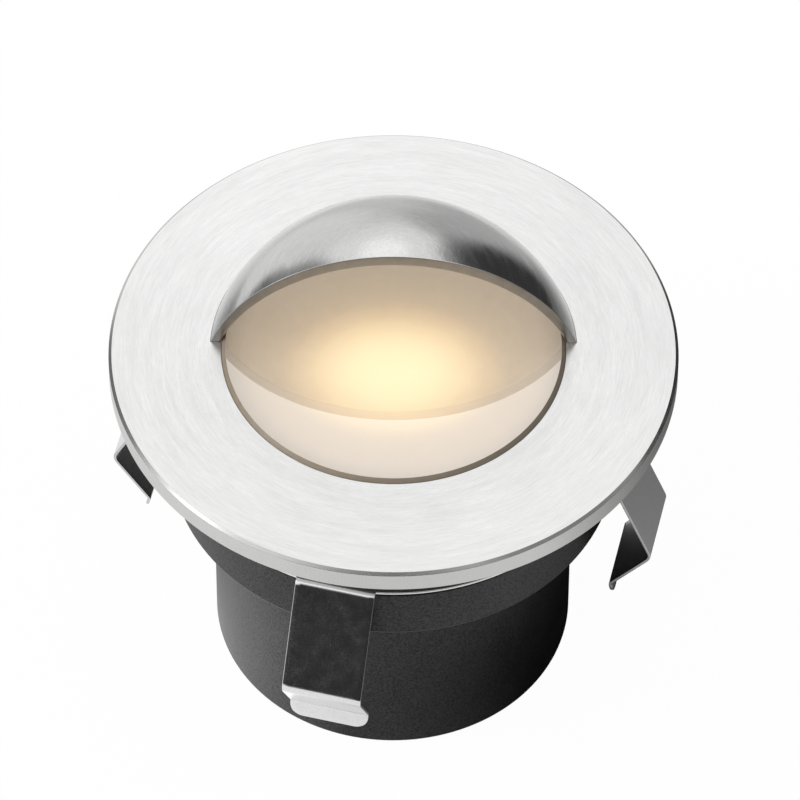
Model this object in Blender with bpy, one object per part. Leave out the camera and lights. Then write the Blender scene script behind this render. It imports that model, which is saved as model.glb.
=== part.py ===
"""Recessed deck light with an eyelid hood, held in its hole by four spring clips.

Lengths are in metres. +Z is up and the hood opens toward -Y. The origin is the
centre of the can's bottom face, and the ring, the lens and the can share the Z axis.
"""
import math

import bmesh
import bpy
from mathutils import Matrix

# Fits
CLEARANCE = 0.0003
OVERRUN = 0.001
MERGE_DISTANCE = 0.000001

# How finely round pieces are divided
RING_SIDES = 72
BODY_SIDES = 48
INNER_SIDES = 32
SMALL_SIDES = 12
HEX_SIDES = 6
SMOOTH_ANGLE = math.radians(35)

# Trim ring
RING_THICKNESS = 0.0036
RING_OVERHANG = 0.0070
RING_CHAMFER = 0.0004
RING_REBATE_DEPTH = 0.0004
OPENING_RADIUS = 0.0230
OPENING_LIP_THICKNESS = 0.0018

# Eyelid hood
HOOD_STEP = 0.0015
HOOD_HEIGHT = 0.01775
HOOD_FOOT_WIDTH = 0.00135
HOOD_CROWN_WALL = 0.0019
HOOD_MOUTH_OFFSET = 0.0011
HOOD_SEAT_DEPTH = 0.0006
HOOD_ARC_STEPS = 10

# Lens and its gasket
LENS_PROUD = 0.0005
LENS_BEVEL = 0.0005
LENS_FLANGE_WIDTH = 0.0024
LENS_FLANGE_THICKNESS = 0.0020
GASKET_THICKNESS = 0.0010
GASKET_WIDTH = 0.0019

# Neck ring and its seal
NECK_HEIGHT = 0.0093
SPIGOT_LENGTH = 0.0044
SPIGOT_WALL = 0.0012
SEAL_CORD_RADIUS = 0.0008
SEAL_CORD_SIDES = 6

# Clip plate and spring clips
PLATE_OVERHANG = 0.0008
PLATE_THICKNESS = 0.0004
CLIP_THICKNESS = 0.0004
CLIP_HALF_WIDTH = 0.0054
CLIP_TONGUE = 0.0009
CLIP_LEG = 0.0160
CLIP_RETURN = 0.0091
CLIP_TAB = 0.0024
CLIP_LEG_ANGLE = math.radians(25.4)
CLIP_RETURN_ANGLE = math.radians(33.1)
CLIP_TAB_ANGLE = math.radians(14.0)
CLIP_ROOT_BEND = 0.0010
CLIP_ELBOW_BEND = 0.0018
CLIP_TAB_BEND = 0.0008
CLIP_TAB_CORNER = 0.0018
CLIP_BEND_STEPS = 4
CLIP_CORNER_STEPS = 4
CLIP_TURN = math.radians(-13.1)
CLIP_PLACES = (
    ("spring_clip_right", CLIP_TURN + math.radians(0.4), math.radians(-3.8)),
    ("spring_clip_rear", CLIP_TURN + math.radians(90), 0.0),
    ("spring_clip_left", CLIP_TURN + math.radians(180), math.radians(0.4)),
    ("spring_clip_front", CLIP_TURN + math.radians(268.9), math.radians(3.4)),
)

# Housing
HEAD_RIM = 0.0006
HEAD_STEP = 0.0002
HEAD_INNER_WALL = 0.0014
HEAD_FLOOR_THICKNESS = 0.0036
HEAD_EDGE = 0.0004
HEAD_REBATE_WIDTH = 0.0007
HEAD_REBATE_HEIGHT = 0.0009
LEDGE_WIDTH = 0.0025
CAN_WALL = 0.0020
CAN_EDGE = 0.0005
FLOOR_THICKNESS = 0.0025
POCKET_WALL = 0.0020
POCKET_ROOF = 0.0022
POST_RADIUS = 0.0022
POST_INSET = 0.0025
POST_TURN = math.radians(30)
POST_COUNT = 3

# Long screws between the housing's head and the trim ring
BODY_SCREW_RADIUS = 0.0010
BODY_SCREW_HEAD_RADIUS = 0.0017
BODY_SCREW_HEAD_HEIGHT = 0.0016
BODY_SCREW_SOCKET = 0.0009
BODY_SCREW_SINK = 0.0004
BODY_SCREW_GRIP = 0.0017
BODY_SCREW_WALL = 0.0009
BODY_SCREW_COUNT = 4

# Small screws of the two boards
SMALL_SCREW_RADIUS = 0.0008
SMALL_SCREW_HEAD_RADIUS = 0.0015
SMALL_SCREW_HEAD_HEIGHT = 0.0011
SMALL_SCREW_SOCKET = 0.0008
SMALL_SCREW_LENGTH = 0.0050

# Light source
DIFFUSER_THICKNESS = 0.0010
REFLECTOR_WALL = 0.0008
REFLECTOR_THROAT_GAP = 0.0008
REFLECTOR_STEPS = 5
REFLECTOR_CURVE = 1.5
LED_BOARD_THICKNESS = 0.0010
LED_SIZE = 0.0030
LED_HEIGHT = 0.0007
LED_BEVEL = 0.0003
LED_PITCH = 0.0040
LED_COUNT = 3
LED_SCREW_INSET = 0.0032
LED_SCREW_COUNT = 2

# Heat sink
SINK_FLANGE_THICKNESS = 0.0016
SINK_PLATE_THICKNESS = 0.0022
SINK_FIN_THICKNESS = 0.0014
SINK_FIN_SPACING = 0.0083
SINK_FIN_HEIGHT = 0.0038
SINK_WIRE_HOLE_RADIUS = 0.0024

# Driver, whose parts stand at shares of the board's radius
DRIVER_BOARD_GAP = 0.0024
DRIVER_BOARD_THICKNESS = 0.0016
DRIVER_BOARD_LIFT = 0.0032
DRIVER_CABLE_GAP = 0.0011
CAPACITOR_RADIUS = 0.0040
CAPACITOR_HEIGHT = 0.0075
CAPACITOR_EDGE = 0.0004
CAPACITOR_PLACE_SHARES = (-0.325, 0.55)
INDUCTOR_RADIUS = 0.0044
INDUCTOR_HEIGHT = 0.0056
INDUCTOR_RIM = 0.0011
INDUCTOR_WAIST = 0.0008
INDUCTOR_PLACE_SHARES = (0.31, 0.55)
CHIP_SIZE = (0.0060, 0.0050, 0.0017)
CHIP_PLACE_SHARES = (-0.425, -0.425)
RECTIFIER_SIZE = (0.0048, 0.0056, 0.0024)
RECTIFIER_PLACE_SHARES = (-0.675, 0.0)
COMPONENT_EDGE = 0.0003
COMPONENT_HEADROOM = 0.0014
TERMINAL_SIZE = (0.0098, 0.0074, 0.0078)
TERMINAL_PLACE_SHARES = (0.39, -0.46)
TERMINAL_WIRE_RADIUS = 0.0013
TERMINAL_PITCH = 0.0050
TERMINAL_WIRE_HEIGHT = 0.0026
TERMINAL_WIRE_DEPTH = 0.0050
LEAD_RADIUS = 0.0006
LEAD_START_SHARES = (0.71, 0.10)
LEAD_SPACING = 0.0011
LEAD_POINTS = 9

# Cable gland
CABLE_HOLE_RADIUS = 0.0031
GLAND_SEAL_WALL = 0.0013
GLAND_SEAL_HEIGHT = 0.0045
GLAND_STEM_WALL = 0.0013
GLAND_STEM_BELOW = 0.0026
GLAND_STEM_PROUD = 0.0013
GLAND_HEX_WALL = 0.0021
GLAND_HEX_HEIGHT = 0.0022
GLAND_WASHER_WIDTH = 0.0020
GLAND_WASHER_THICKNESS = 0.0008
GLAND_NUT_HEIGHT = 0.0030
GLAND_CAP_WALL = 0.0017
GLAND_CAP_HEIGHT = 0.0045
GLAND_CAP_LIP = 0.0010
GLAND_CAP_LIFT = 0.0006
GLAND_TOOL_GAP = 0.0024

# Heights worked out from the sizes above, from the can's bottom up
GLAND_CAP_BOTTOM = GLAND_CAP_LIFT
GLAND_CAP_TOP = GLAND_CAP_BOTTOM + GLAND_CAP_HEIGHT
GLAND_HEX_BOTTOM = GLAND_CAP_TOP + CLEARANCE
GLAND_HEX_TOP = GLAND_HEX_BOTTOM + GLAND_HEX_HEIGHT
GLAND_WASHER_BOTTOM = GLAND_HEX_TOP + CLEARANCE
GLAND_WASHER_TOP = GLAND_WASHER_BOTTOM + GLAND_WASHER_THICKNESS
POCKET_DEPTH = GLAND_WASHER_TOP + CLEARANCE
POCKET_TOP = POCKET_DEPTH + POCKET_ROOF
GLAND_NUT_BOTTOM = POCKET_TOP + CLEARANCE
GLAND_NUT_TOP = GLAND_NUT_BOTTOM + GLAND_NUT_HEIGHT
GLAND_STEM_TOP = GLAND_NUT_TOP + GLAND_STEM_PROUD
DRIVER_BOARD_BOTTOM = GLAND_STEM_TOP + DRIVER_BOARD_LIFT
DRIVER_BOARD_TOP = DRIVER_BOARD_BOTTOM + DRIVER_BOARD_THICKNESS
COMPONENT_SEAT = DRIVER_BOARD_TOP + CLEARANCE
TALLEST_COMPONENT = max(CAPACITOR_HEIGHT, INDUCTOR_HEIGHT, TERMINAL_SIZE[2], RECTIFIER_SIZE[2], CHIP_SIZE[2])
SINK_FIN_BOTTOM = COMPONENT_SEAT + TALLEST_COMPONENT + COMPONENT_HEADROOM
SINK_PLATE_BOTTOM = SINK_FIN_BOTTOM + SINK_FIN_HEIGHT
SINK_FLANGE_BOTTOM = SINK_PLATE_BOTTOM + SINK_PLATE_THICKNESS
SINK_TOP = SINK_FLANGE_BOTTOM + SINK_FLANGE_THICKNESS
HEAD_LEDGE = SINK_FLANGE_BOTTOM - CLEARANCE
HEAD_BOTTOM = HEAD_LEDGE - HEAD_FLOOR_THICKNESS
SPIGOT_BOTTOM = SINK_TOP + CLEARANCE
NECK_BOTTOM = SPIGOT_BOTTOM + SPIGOT_LENGTH
NECK_TOP = NECK_BOTTOM + NECK_HEIGHT
PLATE_TOP = NECK_BOTTOM - CLEARANCE
PLATE_BOTTOM = PLATE_TOP - PLATE_THICKNESS
HEAD_TOP = PLATE_BOTTOM - CLEARANCE
RING_BOTTOM = NECK_TOP + CLEARANCE - RING_REBATE_DEPTH
RING_TOP = RING_BOTTOM + RING_THICKNESS
RING_SHOULDER = RING_TOP - OPENING_LIP_THICKNESS
GASKET_TOP = RING_SHOULDER - CLEARANCE
GASKET_BOTTOM = GASKET_TOP - GASKET_THICKNESS
LENS_FLANGE_TOP = GASKET_BOTTOM - CLEARANCE
LENS_BOTTOM = LENS_FLANGE_TOP - LENS_FLANGE_THICKNESS
LENS_LEDGE = LENS_BOTTOM - CLEARANCE
DIFFUSER_TOP = LENS_BOTTOM - CLEARANCE
DIFFUSER_BOTTOM = DIFFUSER_TOP - DIFFUSER_THICKNESS
LED_BOARD_BOTTOM = SINK_TOP + CLEARANCE
LED_BOARD_TOP = LED_BOARD_BOTTOM + LED_BOARD_THICKNESS

# Radii worked out from the sizes above, starting with the lens and its screws
LENS_RADIUS = OPENING_RADIUS - CLEARANCE
LENS_FLANGE_RADIUS = LENS_RADIUS + LENS_FLANGE_WIDTH
LENS_POCKET_RADIUS = LENS_FLANGE_RADIUS + CLEARANCE
HOOD_BASE_RADIUS = OPENING_RADIUS + HOOD_STEP
BODY_SCREW_HOLE_RADIUS = BODY_SCREW_RADIUS + CLEARANCE
BODY_SCREW_SINK_RADIUS = BODY_SCREW_HEAD_RADIUS + CLEARANCE
BODY_SCREW_CIRCLE_RADIUS = LENS_POCKET_RADIUS + BODY_SCREW_WALL + BODY_SCREW_HOLE_RADIUS
HEAD_RADIUS = BODY_SCREW_CIRCLE_RADIUS + BODY_SCREW_SINK_RADIUS + HEAD_RIM
NECK_RADIUS = HEAD_RADIUS - HEAD_STEP
PLATE_RADIUS = HEAD_RADIUS + PLATE_OVERHANG
RING_RADIUS = PLATE_RADIUS + RING_OVERHANG
HEAD_BORE_RADIUS = BODY_SCREW_CIRCLE_RADIUS - BODY_SCREW_HOLE_RADIUS - HEAD_INNER_WALL
SPIGOT_RADIUS = HEAD_BORE_RADIUS - CLEARANCE
SEAL_GROOVE_RADIUS = SPIGOT_RADIUS - 2 * SEAL_CORD_RADIUS - CLEARANCE
NECK_BORE_RADIUS = SEAL_GROOVE_RADIUS - SPIGOT_WALL
INSERT_RADIUS = NECK_BORE_RADIUS - CLEARANCE
CAN_BORE_RADIUS = HEAD_BORE_RADIUS - LEDGE_WIDTH
CAN_RADIUS = CAN_BORE_RADIUS + CAN_WALL
LED_ROW_HALF = LED_PITCH * (LED_COUNT - 1) / 2
LED_ROW_REACH = math.hypot(LED_ROW_HALF + LED_SIZE / 2, LED_SIZE / 2)
REFLECTOR_THROAT_RADIUS = LED_ROW_REACH + REFLECTOR_THROAT_GAP
LED_SCREW_CIRCLE_RADIUS = INSERT_RADIUS - LED_SCREW_INSET
SMALL_SCREW_HOLE_RADIUS = SMALL_SCREW_RADIUS + CLEARANCE
SINK_RADIUS = CAN_BORE_RADIUS - CLEARANCE
SINK_FLANGE_RADIUS = HEAD_BORE_RADIUS - CLEARANCE
OUTER_FIN_INSIDE = SINK_RADIUS - SINK_FIN_THICKNESS
INNER_FIN_OUTSIDE = OUTER_FIN_INSIDE - SINK_FIN_SPACING
SINK_WIRE_HOLE_PLACE = (OUTER_FIN_INSIDE + INNER_FIN_OUTSIDE) / 2
DRIVER_BOARD_RADIUS = CAN_BORE_RADIUS - DRIVER_BOARD_GAP
DRIVER_CABLE_HOLE_RADIUS = CABLE_HOLE_RADIUS + DRIVER_CABLE_GAP
POST_CIRCLE_RADIUS = DRIVER_BOARD_RADIUS - POST_INSET
GLAND_SEAL_RADIUS = CABLE_HOLE_RADIUS + GLAND_SEAL_WALL
GLAND_BORE_RADIUS = GLAND_SEAL_RADIUS + CLEARANCE
GLAND_STEM_RADIUS = GLAND_BORE_RADIUS + GLAND_STEM_WALL
GLAND_FIT_RADIUS = GLAND_STEM_RADIUS + CLEARANCE
GLAND_HEX_RADIUS = GLAND_FIT_RADIUS + GLAND_HEX_WALL
GLAND_CAP_RADIUS = GLAND_FIT_RADIUS + GLAND_CAP_WALL
POCKET_RADIUS = GLAND_HEX_RADIUS + GLAND_TOOL_GAP


def clear_scene():
    """Start from an empty scene."""
    for thing in list(bpy.data.objects):
        bpy.data.objects.remove(thing, do_unlink=True)


def finish(name, colour, roughness, metallic=0.0, transmission=0.0, glow=0.0):
    """A plain material with the part's own colour, roughness and metallic value."""
    material = bpy.data.materials.new(name)
    material.use_nodes = True
    shader = material.node_tree.nodes["Principled BSDF"]
    shader.inputs["Base Color"].default_value = (*colour, 1.0)
    shader.inputs["Roughness"].default_value = roughness
    shader.inputs["Metallic"].default_value = metallic
    shader.inputs["Transmission Weight"].default_value = transmission
    if glow:
        shader.inputs["Emission Color"].default_value = (*colour, 1.0)
        shader.inputs["Emission Strength"].default_value = glow
    material.diffuse_color = (*colour, 1.0)
    return material


def add_object(name, bm, material=None):
    """Turn a bmesh into a smoothly shaded object with its faces pointing out."""
    bmesh.ops.recalc_face_normals(bm, faces=bm.faces)
    mesh = bpy.data.meshes.new(name)
    bm.to_mesh(mesh)
    bm.free()
    mesh.shade_smooth()
    mesh.set_sharp_from_angle(angle=SMOOTH_ANGLE)
    if material:
        mesh.materials.append(material)
    thing = bpy.data.objects.new(name, mesh)
    bpy.context.scene.collection.objects.link(thing)
    return thing


def combine(target, tool, operation):
    """Apply a Boolean of the tool to the target, and remove the tool."""
    modifier = target.modifiers.new(operation.lower(), "BOOLEAN")
    modifier.operation = operation
    modifier.solver = "EXACT"
    modifier.object = tool
    graph = bpy.context.evaluated_depsgraph_get()
    mesh = bpy.data.meshes.new_from_object(target.evaluated_get(graph))
    target.modifiers.clear()
    target.data = mesh
    mesh.name = target.name
    mesh.shade_smooth()
    mesh.set_sharp_from_angle(angle=SMOOTH_ANGLE)
    bpy.data.objects.remove(tool, do_unlink=True)
    return target


def cut(target, tool):
    return combine(target, tool, "DIFFERENCE")


def turned(name, profile, sides, material=None):
    """Turn a (radius, height) outline round the Z axis. It is closed unless it starts on the axis."""
    bm = bmesh.new()
    points = [bm.verts.new((radius, 0, height)) for radius, height in profile]
    pairs = list(zip(points, points[1:]))
    if profile[0][0] > 0:
        pairs.append((points[-1], points[0]))
    edges = [bm.edges.new(pair) for pair in pairs]
    bmesh.ops.spin(
        bm, geom=points + edges, cent=(0, 0, 0), axis=(0, 0, 1),
        angle=math.tau, steps=sides, use_merge=True,
    )
    bmesh.ops.remove_doubles(bm, verts=bm.verts, dist=MERGE_DISTANCE)
    return add_object(name, bm, material)


def tube_profile(inner, outer, bottom, top):
    return [(inner, bottom), (outer, bottom), (outer, top), (inner, top)]


def disc_profile(radius, bottom, top):
    return [(0, bottom), (radius, bottom), (radius, top), (0, top)]


def add_prism(bm, place, radius, bottom, top, sides):
    """Add an upright prism of so many sides to a bmesh."""
    middle = Matrix.Translation((*place, (bottom + top) / 2))
    bmesh.ops.create_cone(
        bm, cap_ends=True, segments=sides, radius1=radius, radius2=radius,
        depth=top - bottom, matrix=middle,
    )


def prisms(name, places, radius, bottom, top, sides=SMALL_SIDES, material=None):
    """Equal upright prisms in one mesh, one at each place."""
    bm = bmesh.new()
    for place in places:
        add_prism(bm, place, radius, bottom, top, sides)
    return add_object(name, bm, material)


def block(name, size, centre, turn=0.0, material=None, edge=0.0):
    """A box of the given size, turned about Z through the origin, with its edges taken off."""
    bm = bmesh.new()
    shape = Matrix.Rotation(turn, 4, "Z") @ Matrix.Translation(centre) @ Matrix.Diagonal((*size, 1))
    bmesh.ops.create_cube(bm, size=1, matrix=shape)
    if edge:
        bmesh.ops.bevel(bm, geom=bm.edges, offset=edge, segments=1, affect="EDGES")
    return add_object(name, bm, material)


def circle_places(radius, count, turn=0.0):
    """Places spread evenly round the Z axis."""
    angles = [turn + math.tau * index / count for index in range(count)]
    return [(radius * math.cos(angle), radius * math.sin(angle)) for angle in angles]


def arc_points(base_radius, height, steps):
    """The side of a ball's cap, from its foot to its crown, as (radius, height) above the foot."""
    ball = (base_radius ** 2 + height ** 2) / (2 * height)
    centre = height - ball
    first = math.atan2(-centre, base_radius)
    angles = [first + (math.pi / 2 - first) * step / steps for step in range(steps)]
    points = [(ball * math.cos(angle), centre + ball * math.sin(angle)) for angle in angles]
    return points + [(0, height)]


def screw(name, place, head_face, shank_end, radii, head_height, socket, material):
    """A socket screw whose head's outer face and shank's end are at the given heights."""
    shank, head = radii
    way = 1 if shank_end > head_face else -1
    edge = head_height / 6
    outline = [
        (0, head_face),
        (head - edge, head_face),
        (head, head_face + way * edge),
        (head, head_face + way * head_height),
        (shank, head_face + way * head_height),
        (shank, shank_end - way * shank / 2),
        (shank / 2, shank_end),
        (0, shank_end),
    ]
    piece = turned(name, outline, SMALL_SIDES, material)
    socket_depth = head_height * 2 / 3
    low, high = sorted((head_face - way * OVERRUN, head_face + way * socket_depth))
    cut(piece, prisms(name + "_socket", [(0, 0)], socket, low, high, HEX_SIDES))
    piece.location = (*place, 0)
    return piece


def make_trim_ring(material):
    rebate_top = RING_BOTTOM + RING_REBATE_DEPTH
    outline = [
        (OPENING_RADIUS, RING_TOP),
        (OPENING_RADIUS, RING_SHOULDER),
        (LENS_POCKET_RADIUS, RING_SHOULDER),
        (LENS_POCKET_RADIUS, rebate_top),
        (NECK_RADIUS + CLEARANCE, rebate_top),
        (NECK_RADIUS + CLEARANCE, RING_BOTTOM),
        (RING_RADIUS - RING_CHAMFER, RING_BOTTOM),
        (RING_RADIUS, RING_BOTTOM + RING_CHAMFER),
        (RING_RADIUS, RING_TOP - RING_CHAMFER),
        (RING_RADIUS - RING_CHAMFER, RING_TOP),
    ]
    ring = turned("trim_ring", outline, RING_SIDES, material)

    # The hood's foot stands in a shallow seat along the rear half of the opening
    seat_outline = tube_profile(
        OPENING_RADIUS - OVERRUN, HOOD_BASE_RADIUS + CLEARANCE,
        RING_TOP - HOOD_SEAT_DEPTH, RING_TOP + OVERRUN,
    )
    seat = turned("hood_seat", seat_outline, RING_SIDES)
    front_edge = HOOD_MOUTH_OFFSET - CLEARANCE
    cut(seat, front_block("hood_seat_front", front_edge, RING_TOP + 2 * OVERRUN))
    cut(ring, seat)

    places = circle_places(BODY_SCREW_CIRCLE_RADIUS, BODY_SCREW_COUNT, body_screw_turn())
    hole_top = RING_BOTTOM + BODY_SCREW_GRIP + CLEARANCE
    holes = prisms("ring_holes", places, BODY_SCREW_HOLE_RADIUS, RING_BOTTOM - OVERRUN, hole_top)
    return cut(ring, holes)


def front_block(name, front_edge, top):
    """A block that takes away all that lies in front of a plane, up to a height."""
    reach = 2 * RING_RADIUS
    size = (2 * reach, reach, 2 * top)
    return block(name, size, (0, front_edge - reach / 2, 0))


def make_hood(material):
    outer = arc_points(HOOD_BASE_RADIUS, HOOD_HEIGHT, HOOD_ARC_STEPS)
    inner_radius = HOOD_BASE_RADIUS - HOOD_FOOT_WIDTH
    inner = arc_points(inner_radius, HOOD_HEIGHT - HOOD_CROWN_WALL, HOOD_ARC_STEPS)
    foot = RING_TOP - HOOD_SEAT_DEPTH + CLEARANCE
    raised = [(radius, RING_TOP + height) for radius, height in outer]
    hollow = [(radius, RING_TOP + height) for radius, height in inner]
    outline = hollow[::-1] + [(inner_radius, foot), (HOOD_BASE_RADIUS, foot)] + raised
    hood = turned("eyelid_hood", outline, RING_SIDES, material)
    top = RING_TOP + HOOD_HEIGHT + OVERRUN
    return cut(hood, front_block("hood_front", HOOD_MOUTH_OFFSET, top))


def make_lens(material):
    top = RING_TOP + LENS_PROUD
    outline = [
        (0, LENS_BOTTOM),
        (LENS_FLANGE_RADIUS, LENS_BOTTOM),
        (LENS_FLANGE_RADIUS, LENS_FLANGE_TOP),
        (LENS_RADIUS, LENS_FLANGE_TOP),
        (LENS_RADIUS, top - LENS_BEVEL),
        (LENS_RADIUS - LENS_BEVEL, top),
        (0, top),
    ]
    return turned("lens_glass", outline, RING_SIDES, material)


def make_gasket(material):
    inner = LENS_FLANGE_RADIUS - GASKET_WIDTH
    outline = tube_profile(inner, LENS_FLANGE_RADIUS, GASKET_BOTTOM, GASKET_TOP)
    return turned("lens_gasket", outline, BODY_SIDES, material)


def make_neck(material):
    """Black ring that carries the lens and plugs into the housing."""
    groove_half = SEAL_CORD_RADIUS + CLEARANCE
    groove_middle = NECK_BOTTOM - SPIGOT_LENGTH / 2
    outline = [
        (NECK_BORE_RADIUS, LENS_LEDGE),
        (NECK_BORE_RADIUS, SPIGOT_BOTTOM),
        (SPIGOT_RADIUS, SPIGOT_BOTTOM),
        (SPIGOT_RADIUS, groove_middle - groove_half),
        (SEAL_GROOVE_RADIUS, groove_middle - groove_half),
        (SEAL_GROOVE_RADIUS, groove_middle + groove_half),
        (SPIGOT_RADIUS, groove_middle + groove_half),
        (SPIGOT_RADIUS, NECK_BOTTOM),
        (NECK_RADIUS, NECK_BOTTOM),
        (NECK_RADIUS, NECK_TOP),
        (LENS_POCKET_RADIUS, NECK_TOP),
        (LENS_POCKET_RADIUS, LENS_LEDGE),
    ]
    neck = turned("neck_ring", outline, BODY_SIDES, material)
    places = circle_places(BODY_SCREW_CIRCLE_RADIUS, BODY_SCREW_COUNT, body_screw_turn())
    low = NECK_BOTTOM - OVERRUN
    return cut(neck, prisms("neck_holes", places, BODY_SCREW_HOLE_RADIUS, low, NECK_TOP + OVERRUN))


def make_neck_seal(material):
    middle_radius = SPIGOT_RADIUS - SEAL_CORD_RADIUS
    height = NECK_BOTTOM - SPIGOT_LENGTH / 2
    angles = [math.tau * step / SEAL_CORD_SIDES for step in range(SEAL_CORD_SIDES)]
    outline = [
        (middle_radius + SEAL_CORD_RADIUS * math.cos(a), height + SEAL_CORD_RADIUS * math.sin(a))
        for a in angles
    ]
    return turned("neck_o_ring", outline, INNER_SIDES, material)


def clip_root_height():
    return PLATE_TOP - PLATE_THICKNESS / 2


def make_clip_plate(material):
    """Thin washer, notched where each spring clip grows from it."""
    outline = tube_profile(SPIGOT_RADIUS + CLEARANCE, PLATE_RADIUS, PLATE_BOTTOM, PLATE_TOP)
    plate = turned("clip_plate", outline, RING_SIDES, material)
    notch_inner = PLATE_RADIUS - CLIP_TONGUE - CLEARANCE
    notch_length = PLATE_RADIUS + OVERRUN - notch_inner
    size = (notch_length, 2 * (CLIP_HALF_WIDTH + CLEARANCE), PLATE_THICKNESS + 2 * OVERRUN)
    centre = (notch_inner + notch_length / 2, 0, clip_root_height())
    for name, turn, lean in CLIP_PLACES:
        cut(plate, block(name + "_notch", size, centre, turn))
    places = circle_places(BODY_SCREW_CIRCLE_RADIUS, BODY_SCREW_COUNT, body_screw_turn())
    low = PLATE_BOTTOM - OVERRUN
    return cut(plate, prisms("plate_holes", places, BODY_SCREW_HOLE_RADIUS, low, PLATE_TOP + OVERRUN))


def bent_path(corners, radii, steps):
    """A path of straight runs joined by arcs, one at each inner corner."""
    path = [corners[0]]
    for before, corner, after, radius in zip(corners, corners[1:], corners[2:], radii):
        came = math.atan2(corner[1] - before[1], corner[0] - before[0])
        goes = math.atan2(after[1] - corner[1], after[0] - corner[0])
        bend = math.remainder(goes - came, math.tau)
        side = math.copysign(1, bend)
        back = radius * math.tan(abs(bend) / 2)
        start = (corner[0] - back * math.cos(came), corner[1] - back * math.sin(came))
        centre = (start[0] - side * radius * math.sin(came), start[1] + side * radius * math.cos(came))
        for step in range(steps + 1):
            angle = came + bend * step / steps
            x = centre[0] + side * radius * math.sin(angle)
            z = centre[1] - side * radius * math.cos(angle)
            path.append((x, z))
    path.append(corners[-1])
    return path


def clip_corners(lean):
    """The strip's middle line, outward and up from the hinge, with its leg leaned outward."""
    root = (0.0, 0.0)
    leg = CLIP_LEG_ANGLE + lean
    back = CLIP_RETURN_ANGLE - lean
    tab = CLIP_TAB_ANGLE + lean
    elbow = (CLIP_LEG * math.sin(leg), -CLIP_LEG * math.cos(leg))
    heel = (elbow[0] - CLIP_RETURN * math.sin(back), elbow[1] - CLIP_RETURN * math.cos(back))
    tip = (heel[0] + CLIP_TAB * math.sin(tab), heel[1] - CLIP_TAB * math.cos(tab))
    return [(-CLIP_TONGUE, 0.0), root, elbow, heel, tip]


def strip_stations(path):
    """Centre, side direction and half width at each station of the strip, rounding its last corners."""
    last, end = path[-2], path[-1]
    run = math.dist(last, end)
    ahead = ((end[0] - last[0]) / run, (end[1] - last[1]) / run)
    corner = min(CLIP_TAB_CORNER, run, CLIP_HALF_WIDTH)
    points = list(path[:-1])
    widths = [CLIP_HALF_WIDTH] * len(points)
    for step in range(CLIP_CORNER_STEPS + 1):
        angle = math.pi / 2 * step / CLIP_CORNER_STEPS
        along = run - corner + corner * math.sin(angle)
        points.append((last[0] + ahead[0] * along, last[1] + ahead[1] * along))
        widths.append(CLIP_HALF_WIDTH - corner + corner * math.cos(angle))
    stations = []
    for index, point in enumerate(points):
        before = points[max(index - 1, 0)]
        after = points[min(index + 1, len(points) - 1)]
        heading = math.atan2(after[1] - before[1], after[0] - before[0])
        stations.append((point, (-math.sin(heading), math.cos(heading)), widths[index]))
    return stations


def make_spring_clip(name, turn, lean, material):
    """A bent strip whose origin is on its hinge, where it grows from the clip plate."""
    path = bent_path(
        clip_corners(lean), (CLIP_ROOT_BEND, CLIP_ELBOW_BEND, CLIP_TAB_BEND), CLIP_BEND_STEPS
    )
    half = CLIP_THICKNESS / 2
    bm = bmesh.new()
    rings = []
    for (x, z), (side_x, side_z), width in strip_stations(path):
        corners = [(-half, -width), (half, -width), (half, width), (-half, width)]
        rings.append([
            bm.verts.new((x + side_x * offset, y, z + side_z * offset)) for offset, y in corners
        ])
    for first, second in zip(rings, rings[1:]):
        for index in range(4):
            following = (index + 1) % 4
            bm.faces.new((first[index], first[following], second[following], second[index]))
    bm.faces.new(rings[0])
    bm.faces.new(rings[-1])
    clip = add_object(name, bm, material)
    clip.location = (
        PLATE_RADIUS * math.cos(turn), PLATE_RADIUS * math.sin(turn), clip_root_height()
    )
    clip.rotation_euler = (0, 0, turn)
    return clip


def body_screw_turn():
    """The long screws stand midway between the clips."""
    return CLIP_TURN + math.pi / BODY_SCREW_COUNT


def body_screw_head_face():
    return HEAD_BOTTOM + BODY_SCREW_SINK


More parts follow.
